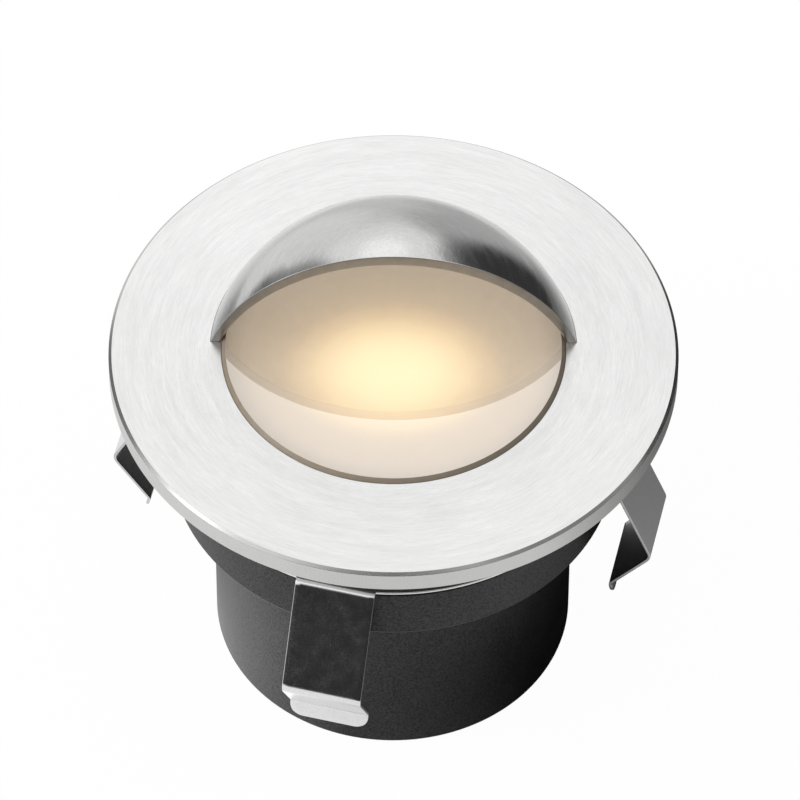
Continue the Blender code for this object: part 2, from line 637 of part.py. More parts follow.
def make_housing(material):
    """Black body: a wide head over a can, with a pocket for the gland and posts for the driver."""
    outline = [
        (CAN_RADIUS - CAN_EDGE, 0),
        (CAN_RADIUS, CAN_EDGE),
        (CAN_RADIUS, HEAD_BOTTOM),
        (HEAD_RADIUS - HEAD_EDGE, HEAD_BOTTOM),
        (HEAD_RADIUS, HEAD_BOTTOM + HEAD_EDGE),
        (HEAD_RADIUS, HEAD_TOP - HEAD_REBATE_HEIGHT),
        (HEAD_RADIUS - HEAD_REBATE_WIDTH, HEAD_TOP - HEAD_REBATE_HEIGHT),
        (HEAD_RADIUS - HEAD_REBATE_WIDTH, HEAD_TOP),
        (HEAD_BORE_RADIUS, HEAD_TOP),
        (HEAD_BORE_RADIUS, HEAD_LEDGE),
        (CAN_BORE_RADIUS, HEAD_LEDGE),
        (CAN_BORE_RADIUS, FLOOR_THICKNESS),
        (POCKET_RADIUS + POCKET_WALL, FLOOR_THICKNESS),
        (POCKET_RADIUS + POCKET_WALL, POCKET_TOP),
        (GLAND_FIT_RADIUS, POCKET_TOP),
        (GLAND_FIT_RADIUS, POCKET_DEPTH),
        (POCKET_RADIUS, POCKET_DEPTH),
        (POCKET_RADIUS, 0),
    ]
    housing = turned("housing", outline, BODY_SIDES, material)

    posts = circle_places(POST_CIRCLE_RADIUS, POST_COUNT, POST_TURN)
    post_top = DRIVER_BOARD_BOTTOM - CLEARANCE
    post_foot = FLOOR_THICKNESS / 2
    combine(housing, prisms("posts", posts, POST_RADIUS, post_foot, post_top), "UNION")
    hole_bottom = DRIVER_BOARD_TOP - SMALL_SCREW_LENGTH - CLEARANCE
    top = post_top + OVERRUN
    cut(housing, prisms("post_holes", posts, SMALL_SCREW_HOLE_RADIUS, hole_bottom, top))

    screws = circle_places(BODY_SCREW_CIRCLE_RADIUS, BODY_SCREW_COUNT, body_screw_turn())
    bottom = HEAD_BOTTOM - OVERRUN
    top = HEAD_TOP + OVERRUN
    cut(housing, prisms("head_holes", screws, BODY_SCREW_HOLE_RADIUS, bottom, top))
    sink_top = body_screw_head_face() + BODY_SCREW_HEAD_HEIGHT + CLEARANCE
    return cut(housing, prisms("head_sinks", screws, BODY_SCREW_SINK_RADIUS, bottom, sink_top))


def make_body_screws(material):
    places = circle_places(BODY_SCREW_CIRCLE_RADIUS, BODY_SCREW_COUNT, body_screw_turn())
    for number, place in enumerate(places, start=1):
        screw(
            f"body_screw_{number}", place, body_screw_head_face(), RING_BOTTOM + BODY_SCREW_GRIP,
            (BODY_SCREW_RADIUS, BODY_SCREW_HEAD_RADIUS), BODY_SCREW_HEAD_HEIGHT,
            BODY_SCREW_SOCKET, material,
        )


def make_diffuser(material):
    return turned(
        "diffuser", disc_profile(INSERT_RADIUS, DIFFUSER_BOTTOM, DIFFUSER_TOP), INNER_SIDES, material
    )


def make_reflector(material):
    """White bowl that opens from its throat over the LEDs to the diffuser."""
    bottom = LED_BOARD_TOP + CLEARANCE
    top = DIFFUSER_BOTTOM - CLEARANCE
    mouth = INSERT_RADIUS - REFLECTOR_WALL
    inside = []
    for step in range(REFLECTOR_STEPS + 1):
        share = step / REFLECTOR_STEPS
        radius = REFLECTOR_THROAT_RADIUS + (mouth - REFLECTOR_THROAT_RADIUS) * share
        inside.append((radius, bottom + (top - bottom) * share ** REFLECTOR_CURVE))
    outside = [(radius + REFLECTOR_WALL, height) for radius, height in inside]
    return turned("reflector", inside + outside[::-1], INNER_SIDES, material)


def led_screw_places():
    return circle_places(LED_SCREW_CIRCLE_RADIUS, LED_SCREW_COUNT, math.pi / 2)


def make_led_board(material):
    outline = disc_profile(INSERT_RADIUS, LED_BOARD_BOTTOM, LED_BOARD_TOP)
    board = turned("led_board", outline, INNER_SIDES, material)
    low = LED_BOARD_BOTTOM - OVERRUN
    high = LED_BOARD_TOP + OVERRUN
    return cut(board, prisms("led_holes", led_screw_places(), SMALL_SCREW_HOLE_RADIUS, low, high))


def make_leds(material):
    """LED packages in a row along X under the reflector's throat."""
    size = (LED_SIZE, LED_SIZE, LED_HEIGHT)
    height = LED_BOARD_TOP + CLEARANCE + LED_HEIGHT / 2
    for index in range(LED_COUNT):
        x = LED_PITCH * index - LED_ROW_HALF
        block(f"led_{index + 1}", size, (x, 0, height), 0.0, material, LED_BEVEL)


def make_led_screws(material):
    face = LED_BOARD_TOP + CLEARANCE + SMALL_SCREW_HEAD_HEIGHT
    for number, place in enumerate(led_screw_places(), start=1):
        screw(
            f"led_board_screw_{number}", place, face, face - sink_screw_length(),
            (SMALL_SCREW_RADIUS, SMALL_SCREW_HEAD_RADIUS), SMALL_SCREW_HEAD_HEIGHT,
            SMALL_SCREW_SOCKET, material,
        )


def sink_screw_length():
    """The LED board's screws end inside the heat sink's plate."""
    plate = SINK_FLANGE_THICKNESS + SINK_PLATE_THICKNESS
    return SMALL_SCREW_HEAD_HEIGHT + 2 * CLEARANCE + LED_BOARD_THICKNESS + plate / 2


def make_heat_sink(material):
    """Turned plate that lies on the head's ledge, with two round fins below it."""
    inner_fin_inside = INNER_FIN_OUTSIDE - SINK_FIN_THICKNESS
    outline = [
        (0, SINK_TOP),
        (SINK_FLANGE_RADIUS, SINK_TOP),
        (SINK_FLANGE_RADIUS, SINK_FLANGE_BOTTOM),
        (SINK_RADIUS, SINK_FLANGE_BOTTOM),
        (SINK_RADIUS, SINK_FIN_BOTTOM),
        (OUTER_FIN_INSIDE, SINK_FIN_BOTTOM),
        (OUTER_FIN_INSIDE, SINK_PLATE_BOTTOM),
        (INNER_FIN_OUTSIDE, SINK_PLATE_BOTTOM),
        (INNER_FIN_OUTSIDE, SINK_FIN_BOTTOM),
        (inner_fin_inside, SINK_FIN_BOTTOM),
        (inner_fin_inside, SINK_PLATE_BOTTOM),
        (0, SINK_PLATE_BOTTOM),
    ]
    sink = turned("heat_sink", outline, INNER_SIDES, material)
    low = SINK_PLATE_BOTTOM - OVERRUN
    high = SINK_TOP + OVERRUN
    wire_place = [(SINK_WIRE_HOLE_PLACE, 0)]
    cut(sink, prisms("wire_hole", wire_place, SINK_WIRE_HOLE_RADIUS, low, high))
    face = LED_BOARD_TOP + CLEARANCE + SMALL_SCREW_HEAD_HEIGHT
    hole_bottom = face - sink_screw_length() - CLEARANCE
    return cut(
        sink, prisms("sink_holes", led_screw_places(), SMALL_SCREW_HOLE_RADIUS, hole_bottom, high)
    )


def make_driver_board(material):
    outline = tube_profile(
        DRIVER_CABLE_HOLE_RADIUS, DRIVER_BOARD_RADIUS, DRIVER_BOARD_BOTTOM, DRIVER_BOARD_TOP
    )
    board = turned("driver_board", outline, INNER_SIDES, material)
    places = circle_places(POST_CIRCLE_RADIUS, POST_COUNT, POST_TURN)
    low = DRIVER_BOARD_BOTTOM - OVERRUN
    high = DRIVER_BOARD_TOP + OVERRUN
    return cut(board, prisms("driver_holes", places, SMALL_SCREW_HOLE_RADIUS, low, high))


def make_driver_screws(material):
    face = COMPONENT_SEAT + SMALL_SCREW_HEAD_HEIGHT
    tip = DRIVER_BOARD_TOP - SMALL_SCREW_LENGTH
    places = circle_places(POST_CIRCLE_RADIUS, POST_COUNT, POST_TURN)
    for number, place in enumerate(places, start=1):
        screw(
            f"driver_screw_{number}", place, face, tip,
            (SMALL_SCREW_RADIUS, SMALL_SCREW_HEAD_RADIUS), SMALL_SCREW_HEAD_HEIGHT,
            SMALL_SCREW_SOCKET, material,
        )


def board_place(shares):
    """A place on the driver board, from shares of its radius."""
    return tuple(share * DRIVER_BOARD_RADIUS for share in shares)


def make_capacitor(material):
    """Small upright can with its top and bottom edges rolled over."""
    top = COMPONENT_SEAT + CAPACITOR_HEIGHT
    inner = CAPACITOR_RADIUS - CAPACITOR_EDGE
    outline = [
        (0, COMPONENT_SEAT),
        (inner, COMPONENT_SEAT),
        (CAPACITOR_RADIUS, COMPONENT_SEAT + CAPACITOR_EDGE),
        (CAPACITOR_RADIUS, top - CAPACITOR_EDGE),
        (inner, top),
        (0, top),
    ]
    piece = turned("capacitor", outline, SMALL_SIDES, material)
    piece.location = (*board_place(CAPACITOR_PLACE_SHARES), 0)
    return piece


def make_inductor(material):
    """Bobbin with two rims and a wound waist."""
    waist = INDUCTOR_RADIUS - INDUCTOR_WAIST
    top = COMPONENT_SEAT + INDUCTOR_HEIGHT
    outline = [
        (0, COMPONENT_SEAT),
        (INDUCTOR_RADIUS, COMPONENT_SEAT),
        (INDUCTOR_RADIUS, COMPONENT_SEAT + INDUCTOR_RIM),
        (waist, COMPONENT_SEAT + INDUCTOR_RIM),
        (waist, top - INDUCTOR_RIM),
        (INDUCTOR_RADIUS, top - INDUCTOR_RIM),
        (INDUCTOR_RADIUS, top),
        (0, top),
    ]
    piece = turned("inductor", outline, SMALL_SIDES, material)
    piece.location = (*board_place(INDUCTOR_PLACE_SHARES), 0)
    return piece


def make_component(name, size, place, material):
    """A moulded block that stands on the driver board."""
    return block(name, size, (*place, COMPONENT_SEAT + size[2] / 2), 0.0, material, COMPONENT_EDGE)


def make_terminal_block(material):
    """Block with two entries for the mains leads, open toward -Y."""
    middle = board_place(TERMINAL_PLACE_SHARES)
    piece = make_component("terminal_block", TERMINAL_SIZE, middle, material)
    face = middle[1] - TERMINAL_SIZE[1] / 2
    reach = TERMINAL_WIRE_DEPTH + OVERRUN
    bm = bmesh.new()
    for side in (-1, 1):
        x = middle[0] + side * TERMINAL_PITCH / 2
        y = face - OVERRUN + reach / 2
        place = Matrix.Translation((x, y, COMPONENT_SEAT + TERMINAL_WIRE_HEIGHT))
        bmesh.ops.create_cone(
            bm, cap_ends=True, segments=SMALL_SIDES, radius1=TERMINAL_WIRE_RADIUS,
            radius2=TERMINAL_WIRE_RADIUS, depth=reach,
            matrix=place @ Matrix.Rotation(math.pi / 2, 4, "X"),
        )
    return cut(piece, add_object("terminal_entries", bm))


def make_lead(name, side, material):
    """A lead that stands on the driver board and ends under the LED board."""
    bottom = COMPONENT_SEAT
    top = LED_BOARD_BOTTOM - CLEARANCE
    start = board_place(LEAD_START_SHARES)
    curve = bpy.data.curves.new(name, "CURVE")
    curve.dimensions = "3D"
    curve.bevel_depth = LEAD_RADIUS
    curve.bevel_resolution = 1
    curve.use_fill_caps = True
    spline = curve.splines.new("POLY")
    spline.points.add(LEAD_POINTS - 1)
    for index, point in enumerate(spline.points):
        share = index / (LEAD_POINTS - 1)
        bend = (1 - math.cos(math.pi * min(2 * share, 1))) / 2
        x = start[0] + (SINK_WIRE_HOLE_PLACE - start[0]) * bend
        y = side * (start[1] + (LEAD_SPACING - start[1]) * bend)
        point.co = (x, y, bottom + (top - bottom) * share, 1)
    curve.materials.append(material)
    lead = bpy.data.objects.new(name, curve)
    bpy.context.scene.collection.objects.link(lead)
    return lead


def ring_nut(name, radius, bore, bottom, top, material):
    """A hexagon nut with a plain bore."""
    nut = prisms(name, [(0, 0)], radius, bottom, top, HEX_SIDES, material)
    low = bottom - OVERRUN
    return cut(nut, prisms(name + "_bore", [(0, 0)], bore, low, top + OVERRUN, INNER_SIDES))


def make_gland(stem_material, seal_material):
    """Cable gland that hangs in the can's pocket, with its lock nut inside the can."""
    stem_bottom = GLAND_HEX_BOTTOM - GLAND_STEM_BELOW
    stem = turned(
        "gland_body", disc_profile(GLAND_STEM_RADIUS, stem_bottom, GLAND_STEM_TOP),
        INNER_SIDES, stem_material,
    )
    collar = prisms(
        "gland_hex", [(0, 0)], GLAND_HEX_RADIUS, GLAND_HEX_BOTTOM, GLAND_HEX_TOP, HEX_SIDES
    )
    combine(stem, collar, "UNION")
    low = stem_bottom - OVERRUN
    high = GLAND_STEM_TOP + OVERRUN
    cut(stem, prisms("gland_bore", [(0, 0)], GLAND_BORE_RADIUS, low, high, INNER_SIDES))

    washer = tube_profile(
        GLAND_FIT_RADIUS, GLAND_FIT_RADIUS + GLAND_WASHER_WIDTH, GLAND_WASHER_BOTTOM, GLAND_WASHER_TOP
    )
    turned("gland_washer", washer, INNER_SIDES, seal_material)
    ring_nut(
        "gland_lock_nut", GLAND_HEX_RADIUS, GLAND_FIT_RADIUS, GLAND_NUT_BOTTOM, GLAND_NUT_TOP,
        stem_material,
    )

    lip_top = GLAND_CAP_BOTTOM + GLAND_CAP_LIP
    seal_bottom = lip_top + CLEARANCE
    seal = tube_profile(
        CABLE_HOLE_RADIUS, GLAND_SEAL_RADIUS, seal_bottom, seal_bottom + GLAND_SEAL_HEIGHT
    )
    turned("gland_seal", seal, INNER_SIDES, seal_material)

    cap = prisms(
        "gland_cap", [(0, 0)], GLAND_CAP_RADIUS, GLAND_CAP_BOTTOM, GLAND_CAP_TOP, HEX_SIDES,
        stem_material,
    )
    hollow = [
        (0, GLAND_CAP_BOTTOM - OVERRUN),
        (CABLE_HOLE_RADIUS, GLAND_CAP_BOTTOM - OVERRUN),
        (CABLE_HOLE_RADIUS, lip_top),
        (GLAND_FIT_RADIUS, lip_top),
        (GLAND_FIT_RADIUS, GLAND_CAP_TOP + OVERRUN),
        (0, GLAND_CAP_TOP + OVERRUN),
    ]
    cut(cap, turned("cap_hollow", hollow, INNER_SIDES))


def main():
    clear_scene()
    steel = finish("ring_steel", (0.72, 0.71, 0.69), 0.32, 1.0)
    hood_steel = finish("hood_steel", (0.60, 0.59, 0.57), 0.28, 1.0)
    spring_steel = finish("spring_steel", (0.50, 0.50, 0.49), 0.18, 1.0)
    plate_steel = finish("plate_steel", (0.62, 0.62, 0.60), 0.22, 1.0)
    screw_steel = finish("screw_steel", (0.55, 0.55, 0.54), 0.30, 1.0)
    glass = finish("lens_glass", (0.95, 0.90, 0.80), 0.05, 0.0, 0.8)
    opal = finish("opal_plastic", (0.95, 0.90, 0.78), 0.60)
    gasket = finish("gasket_silicone", (0.10, 0.09, 0.08), 0.70)
    seal = finish("seal_rubber", (0.03, 0.03, 0.03), 0.75)
    neck_plastic = finish("neck_plastic", (0.03, 0.03, 0.03), 0.55)
    housing_plastic = finish("housing_plastic", (0.035, 0.035, 0.037), 0.60)
    white_plastic = finish("reflector_plastic", (0.90, 0.90, 0.88), 0.40)
    led_mask = finish("led_board_mask", (0.86, 0.86, 0.84), 0.45)
    led_phosphor = finish("led_phosphor", (1.00, 0.80, 0.42), 0.50, 0.0, 0.0, 4.0)
    aluminium = finish("sink_aluminium", (0.70, 0.71, 0.72), 0.40, 1.0)
    board = finish("driver_board_mask", (0.03, 0.20, 0.09), 0.40)
    capacitor = finish("capacitor_sleeve", (0.05, 0.06, 0.14), 0.35)
    ferrite = finish("inductor_ferrite", (0.08, 0.07, 0.06), 0.55)
    epoxy = finish("chip_epoxy", (0.03, 0.03, 0.03), 0.50)
    terminal = finish("terminal_plastic", (0.05, 0.25, 0.12), 0.45)
    red = finish("lead_red", (0.55, 0.04, 0.03), 0.45)
    black = finish("lead_black", (0.03, 0.03, 0.03), 0.45)
    gland = finish("gland_nylon", (0.04, 0.04, 0.04), 0.50)

    make_trim_ring(steel)
    make_hood(hood_steel)
    make_lens(glass)
    make_gasket(gasket)
    make_neck(neck_plastic)
    make_neck_seal(seal)
    make_clip_plate(plate_steel)
    for name, turn, lean in CLIP_PLACES:
        make_spring_clip(name, turn, lean, spring_steel)
    make_housing(housing_plastic)
    make_body_screws(screw_steel)
    make_diffuser(opal)
    make_reflector(white_plastic)
    make_led_board(led_mask)
    make_leds(led_phosphor)
    make_led_screws(screw_steel)
    make_heat_sink(aluminium)
    make_driver_board(board)
    make_driver_screws(screw_steel)
    make_capacitor(capacitor)
    make_inductor(ferrite)
    make_component("driver_chip", CHIP_SIZE, board_place(CHIP_PLACE_SHARES), epoxy)
    make_component("rectifier", RECTIFIER_SIZE, board_place(RECTIFIER_PLACE_SHARES), epoxy)
    make_terminal_block(terminal)
    make_lead("lead_plus", 1, red)
    make_lead("lead_minus", -1, black)
    make_gland(gland, seal)


main()
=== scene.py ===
"""The looks of the recessed deck light: finer shells, finishes, studio and camera.

Lengths are in metres, in the same frame as the solids: +Z is up, the hood opens
toward -Y, and the ring, the lens and the can share the Z axis.
"""
import math

import bmesh
import bpy
from mathutils import Matrix, Quaternion, Vector


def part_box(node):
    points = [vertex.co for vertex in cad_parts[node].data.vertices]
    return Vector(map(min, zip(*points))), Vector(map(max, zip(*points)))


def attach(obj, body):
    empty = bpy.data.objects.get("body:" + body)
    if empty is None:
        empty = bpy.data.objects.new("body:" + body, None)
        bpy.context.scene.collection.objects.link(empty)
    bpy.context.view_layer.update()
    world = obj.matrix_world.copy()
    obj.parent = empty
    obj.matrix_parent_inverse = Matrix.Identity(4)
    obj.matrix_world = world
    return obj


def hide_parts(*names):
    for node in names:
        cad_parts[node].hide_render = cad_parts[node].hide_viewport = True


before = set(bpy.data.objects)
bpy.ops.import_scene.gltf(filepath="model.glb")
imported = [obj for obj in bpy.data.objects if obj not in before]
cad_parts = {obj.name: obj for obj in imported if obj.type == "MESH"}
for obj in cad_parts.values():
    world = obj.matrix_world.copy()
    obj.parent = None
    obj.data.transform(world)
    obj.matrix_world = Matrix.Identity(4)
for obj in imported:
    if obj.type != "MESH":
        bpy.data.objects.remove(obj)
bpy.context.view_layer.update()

# How finely the shells are divided
ROUND_SIDES = 192
BODY_SIDES = 144
FILLET_STEPS = 4
HOOD_ROWS = 44
HOOD_COLUMNS = 96
STRIP_COLUMNS = 14
BEND_STEPS = 8
CORNER_STEPS = 8
TOLERANCE = 0.000001
OVERRUN = 0.001
SMOOTH_ANGLE = math.radians(32)

# Fits that show as seams
SEAM = 0.00003
CLEARANCE = 0.0003

# Trim ring and hood
OPENING_INSET = 0.0015
OPENING_LIP_THICKNESS = 0.0018
RING_CHAMFER = 0.0004
RING_REBATE_DEPTH = 0.0004
RING_EDGE = 0.00008
RING_TOP_SLOPE = 0.9
HOOD_FOOT_WIDTH = 0.00135
HOOD_CROWN_WALL = 0.0019
HOOD_LIP_EDGE = 0.00012
HOOD_INNER_EDGE = 0.00035
HOOD_LIP_SLOPE = math.sqrt(0.5)
SCREW_HOLE_RADIUS = 0.0013
SCREW_SINK_RADIUS = 0.0020
SCREW_GRIP = 0.0020
SCREW_COUNT = 4
DRILL_SIDES = 32

# Lens
LENS_BEVEL = 0.0005
LENS_EDGE = 0.00012
LENS_FLAT_SLOPE = math.cos(math.radians(20))
LENS_FLANGE_THICKNESS = 0.0020

# Neck ring
LENS_POCKET_RADIUS = 0.0254
SPIGOT_LENGTH = 0.0044
SEAL_GROOVE_DEPTH = 0.0019
SEAL_GROOVE_HALF = 0.0011

# Clip plate and clips
PLATE_BORE_RADIUS = 0.0249
PLATE_EDGE = 0.00012
CLIP_THICKNESS = 0.0004
CLIP_HALF_WIDTH = 0.0054
CLIP_TONGUE = 0.0009
CLIP_LEG = 0.0160
CLIP_RETURN = 0.0091
CLIP_TAB = 0.0024
CLIP_LEG_ANGLE = math.radians(25.4)
CLIP_RETURN_ANGLE = math.radians(33.1)
CLIP_TAB_ANGLE = math.radians(14.0)
CLIP_ROOT_BEND = 0.0010
CLIP_ELBOW_BEND = 0.0018
CLIP_TAB_BEND = 0.0008
CLIP_TAB_CORNER = 0.0018
CLIP_EDGE = 0.0001
STRIP_EDGE_SLOPE = 0.5
CLIP_TURN = math.radians(-13.1)

# Clips: name, turn round the light, how far the leg leans outward
CLIP_PLACES = (
    ("right", CLIP_TURN + math.radians(0.4), math.radians(-3.8)),
    ("rear", CLIP_TURN + math.radians(90), 0.0),
    ("left", CLIP_TURN + math.radians(180), math.radians(0.4)),
    ("front", CLIP_TURN + math.radians(268.9), math.radians(3.4)),
)

# Housing
HEAD_BORE_RADIUS = 0.0249
HEAD_FLOOR_THICKNESS = 0.0036
HEAD_HEIGHT = 0.0092
HEAD_EDGE = 0.0004
HEAD_REBATE_WIDTH = 0.0007
HEAD_REBATE_HEIGHT = 0.0009
CAN_RADIUS = 0.0244
CAN_WALL = 0.0020
CAN_EDGE = 0.0006
CAN_FLOOR = 0.0025
POCKET_RADIUS = 0.0108
POCKET_WALL = 0.0020
POCKET_ROOF = 0.0022
POCKET_DEPTH = 0.0090
GLAND_FIT_RADIUS = 0.0063
HOUSING_EDGE = 0.0002

# Sizes read from the solids
RING_LOW, RING_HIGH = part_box("trim_ring")
HOOD_LOW, HOOD_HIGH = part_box("eyelid_hood")
LENS_LOW, LENS_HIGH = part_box("lens_glass")
NECK_LOW, NECK_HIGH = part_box("neck_ring")
PLATE_LOW, PLATE_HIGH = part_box("clip_plate")
HOUSING_LOW, HOUSING_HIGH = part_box("housing")
INSERT_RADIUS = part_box("diffuser")[1].x
OPENING_RADIUS = HOOD_HIGH.x - OPENING_INSET
LENS_RADIUS = OPENING_RADIUS - SEAM
SCREW_CIRCLE_RADIUS = math.hypot(*((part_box("body_screw_1")[0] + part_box("body_screw_1")[1]) / 2).xy)

# Camera, fitted to the photograph's ellipses
CAMERA_PLACE = Vector((0, -0.63375, 0.82746))
CAMERA_LENS = 337.4
CAMERA_SENSOR = 36
CAMERA_NEAR = 0.01
CAMERA_ROLL = math.radians(0.262)
AIM_RIGHT = 0.00085
AIM_UP = -0.00684


def linked(name, mesh):
    thing = bpy.data.objects.new(name, mesh)
    bpy.context.scene.collection.objects.link(thing)
    return thing


def add_piece(name, bm, materials, choose=None):
    """Turn a bmesh into a smooth object. Its faces take the material that choose picks by number."""
    bmesh.ops.recalc_face_normals(bm, faces=bm.faces)
    mesh = bpy.data.meshes.new(name)
    if choose:
        for face in bm.faces:
            face.material_index = choose(face)
    bm.to_mesh(mesh)
    bm.free()
    for material in materials:
        mesh.materials.append(material)
    mesh.shade_smooth()
    mesh.set_sharp_from_angle(angle=SMOOTH_ANGLE)
    return linked(name, mesh)


def add_face(bm, corners):
    """Add a face, leaving out corners that fall together."""
    kept = []
    for corner in corners:
        if corner not in kept:
            kept.append(corner)
    if len(kept) > 2:
        bm.faces.new(kept)


def even_shading(piece):
    """Keep flat faces flat beside rounded edges."""
    modifier = piece.modifiers.new("even_shading", "WEIGHTED_NORMAL")
    modifier.keep_sharp = True
    return piece


def stand_for(piece, node, body="light_body"):
    """Put the piece on its body in place of a CAD node."""
    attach(piece, body)
    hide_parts(node)
    return piece


def filleted(corners):
    """An outline with its corners rounded. Each corner is (radius, height, fillet)."""
    outline = []
    count = len(corners)
    for index, (radius, height, fillet) in enumerate(corners):
        if not fillet:
            outline.append((radius, height))
            continue
        here = Vector((radius, height))
        before = (Vector(corners[index - 1][:2]) - here).normalized()
        after = (Vector(corners[(index + 1) % count][:2]) - here).normalized()
        half = before.angle(after) / 2
        start = here + before * (fillet / math.tan(half))
        end = here + after * (fillet / math.tan(half))
        centre = here + (before + after).normalized() * (fillet / math.sin(half))
        sweep = math.pi - 2 * half
        for step in range(FILLET_STEPS + 1):
            turn = sweep * step / FILLET_STEPS
            spoke = (start - centre) * math.sin(sweep - turn) + (end - centre) * math.sin(turn)
            outline.append(tuple(centre + spoke / math.sin(sweep)))
    return outline


def turned(name, corners, sides, materials, choose=None):
    """Turn a filleted outline round the Z axis."""
    outline = filleted(corners)
    bm = bmesh.new()
    angles = [math.tau * side / sides for side in range(sides)]
    rings = []
    for radius, height in outline:
        if radius > 0:
            around = [(radius * math.cos(angle), radius * math.sin(angle), height) for angle in angles]
            rings.append([bm.verts.new(place) for place in around])
        else:
            rings.append([bm.verts.new((0, 0, height))] * sides)
    pairs = list(zip(rings, rings[1:]))
    if outline[0][0] > 0:
        pairs.append((rings[-1], rings[0]))
    for first, second in pairs:
        for side in range(sides):
            following = (side + 1) % sides
            add_face(bm, (first[side], first[following], second[following], second[side]))
    return add_piece(name, bm, materials, choose)


def cut(target, tool, operation="DIFFERENCE"):
    """Apply a Boolean of the tool to the target, and remove the tool."""
    modifier = target.modifiers.new("cut", "BOOLEAN")
    modifier.operation = operation
    modifier.solver = "EXACT"
    modifier.object = tool
    graph = bpy.context.evaluated_depsgraph_get()
    mesh = bpy.data.meshes.new_from_object(target.evaluated_get(graph))
    target.modifiers.clear()
    target.data = mesh
    mesh.shade_smooth()
    mesh.set_sharp_from_angle(angle=SMOOTH_ANGLE)
    bpy.data.objects.remove(tool, do_unlink=True)
    return target


def screw_drills(name, radius, bottom, top):
    """Upright drills at the places of the four long screws."""
    bm = bmesh.new()
    for index in range(SCREW_COUNT):
        angle = CLIP_TURN + math.pi * (2 * index + 1) / SCREW_COUNT
        place = Vector((math.cos(angle), math.sin(angle), 0)) * SCREW_CIRCLE_RADIUS
        place.z = (bottom + top) / 2
        bmesh.ops.create_cone(
            bm, cap_ends=True, segments=DRILL_SIDES, radius1=radius, radius2=radius,
            depth=top - bottom, matrix=Matrix.Translation(place),
        )
    return add_piece(name, bm, [])


# Shader values that several finishes share
WHITE = (1, 1, 1, 1)
NOISE_RANGE = (0.25, 0.75)
ROUGHNESS_SPREAD = 0.06
FINE_DETAIL = 3.0
EVEN_SHADES = (0.85, 1.15)

# Turned metal: how fast its marks change round the axis and across it, and how its gloss is stretched
FINE_MARKS = (22, 9000)
LONG_MARKS = (7, 3600)
WIDE_WAVES = (3.5, 1000)
BRUSHED_STRETCH = 0.5
BRUSHED_TURN = 0.25

# Finishes of turned metal: colour, roughness, depth of fine marks, long marks and waves, shades
TURNED = {
    "ring_steel": ((0.82, 0.82, 0.817), 0.30, (0.0000007, 0.0000017, 0.000002), (0.90, 1.07)),
    "hood_steel": ((0.66, 0.66, 0.655), 0.17, (0.000002, 0.000008, 0.000012), (0.90, 1.08)),
    "screw_steel": ((0.70, 0.70, 0.69), 0.28, (0.000002, 0.000003, 0.000004), (0.9, 1.05)),
    "sink_aluminium": ((0.78, 0.79, 0.80), 0.36, (0.000003, 0.000005, 0.000008), (0.94, 1.04)),
}

# Rolled strip: how fast its marks, waves and clouds change along each axis, and its specks
ROLLING_MARKS = (900, 9000, 900)
BENDING_WAVES = (220, 260, 220)
STRIP_CLOUDS = (500, 600, 500)
STRIP_SPREAD = 0.03
SPECK_SCALE = 7000
SPECK_RANGE = (0.42, 0.7)

# Finishes of rolled strip: colour, roughness, depth of waves and marks, shades, dullness of specks
ROLLED = {
    "rim_steel": ((0.64, 0.64, 0.63), 0.24, (0.000002, 0.0000005), (0.92, 1.06), 0.1),
    "spring_steel": ((0.84, 0.84, 0.84), 0.15, (0.000002, 0.000001), (0.88, 1.1), 0.09),
    "plate_steel": ((0.84, 0.84, 0.83), 0.2, (0.00001, 0.000001), (0.94, 1.04), 0.1),
}

# Grained stuff: its clouds' fineness as a share of the grain's, and the noise that drives its gloss
CLOUD_SHARE = 0.08
GRAIN_ROUGHNESS = 0.6
GLOSS_NOISE_RANGE = (0.35, 0.65)
HOUSING_GLOSS = (0.15, 0.55)

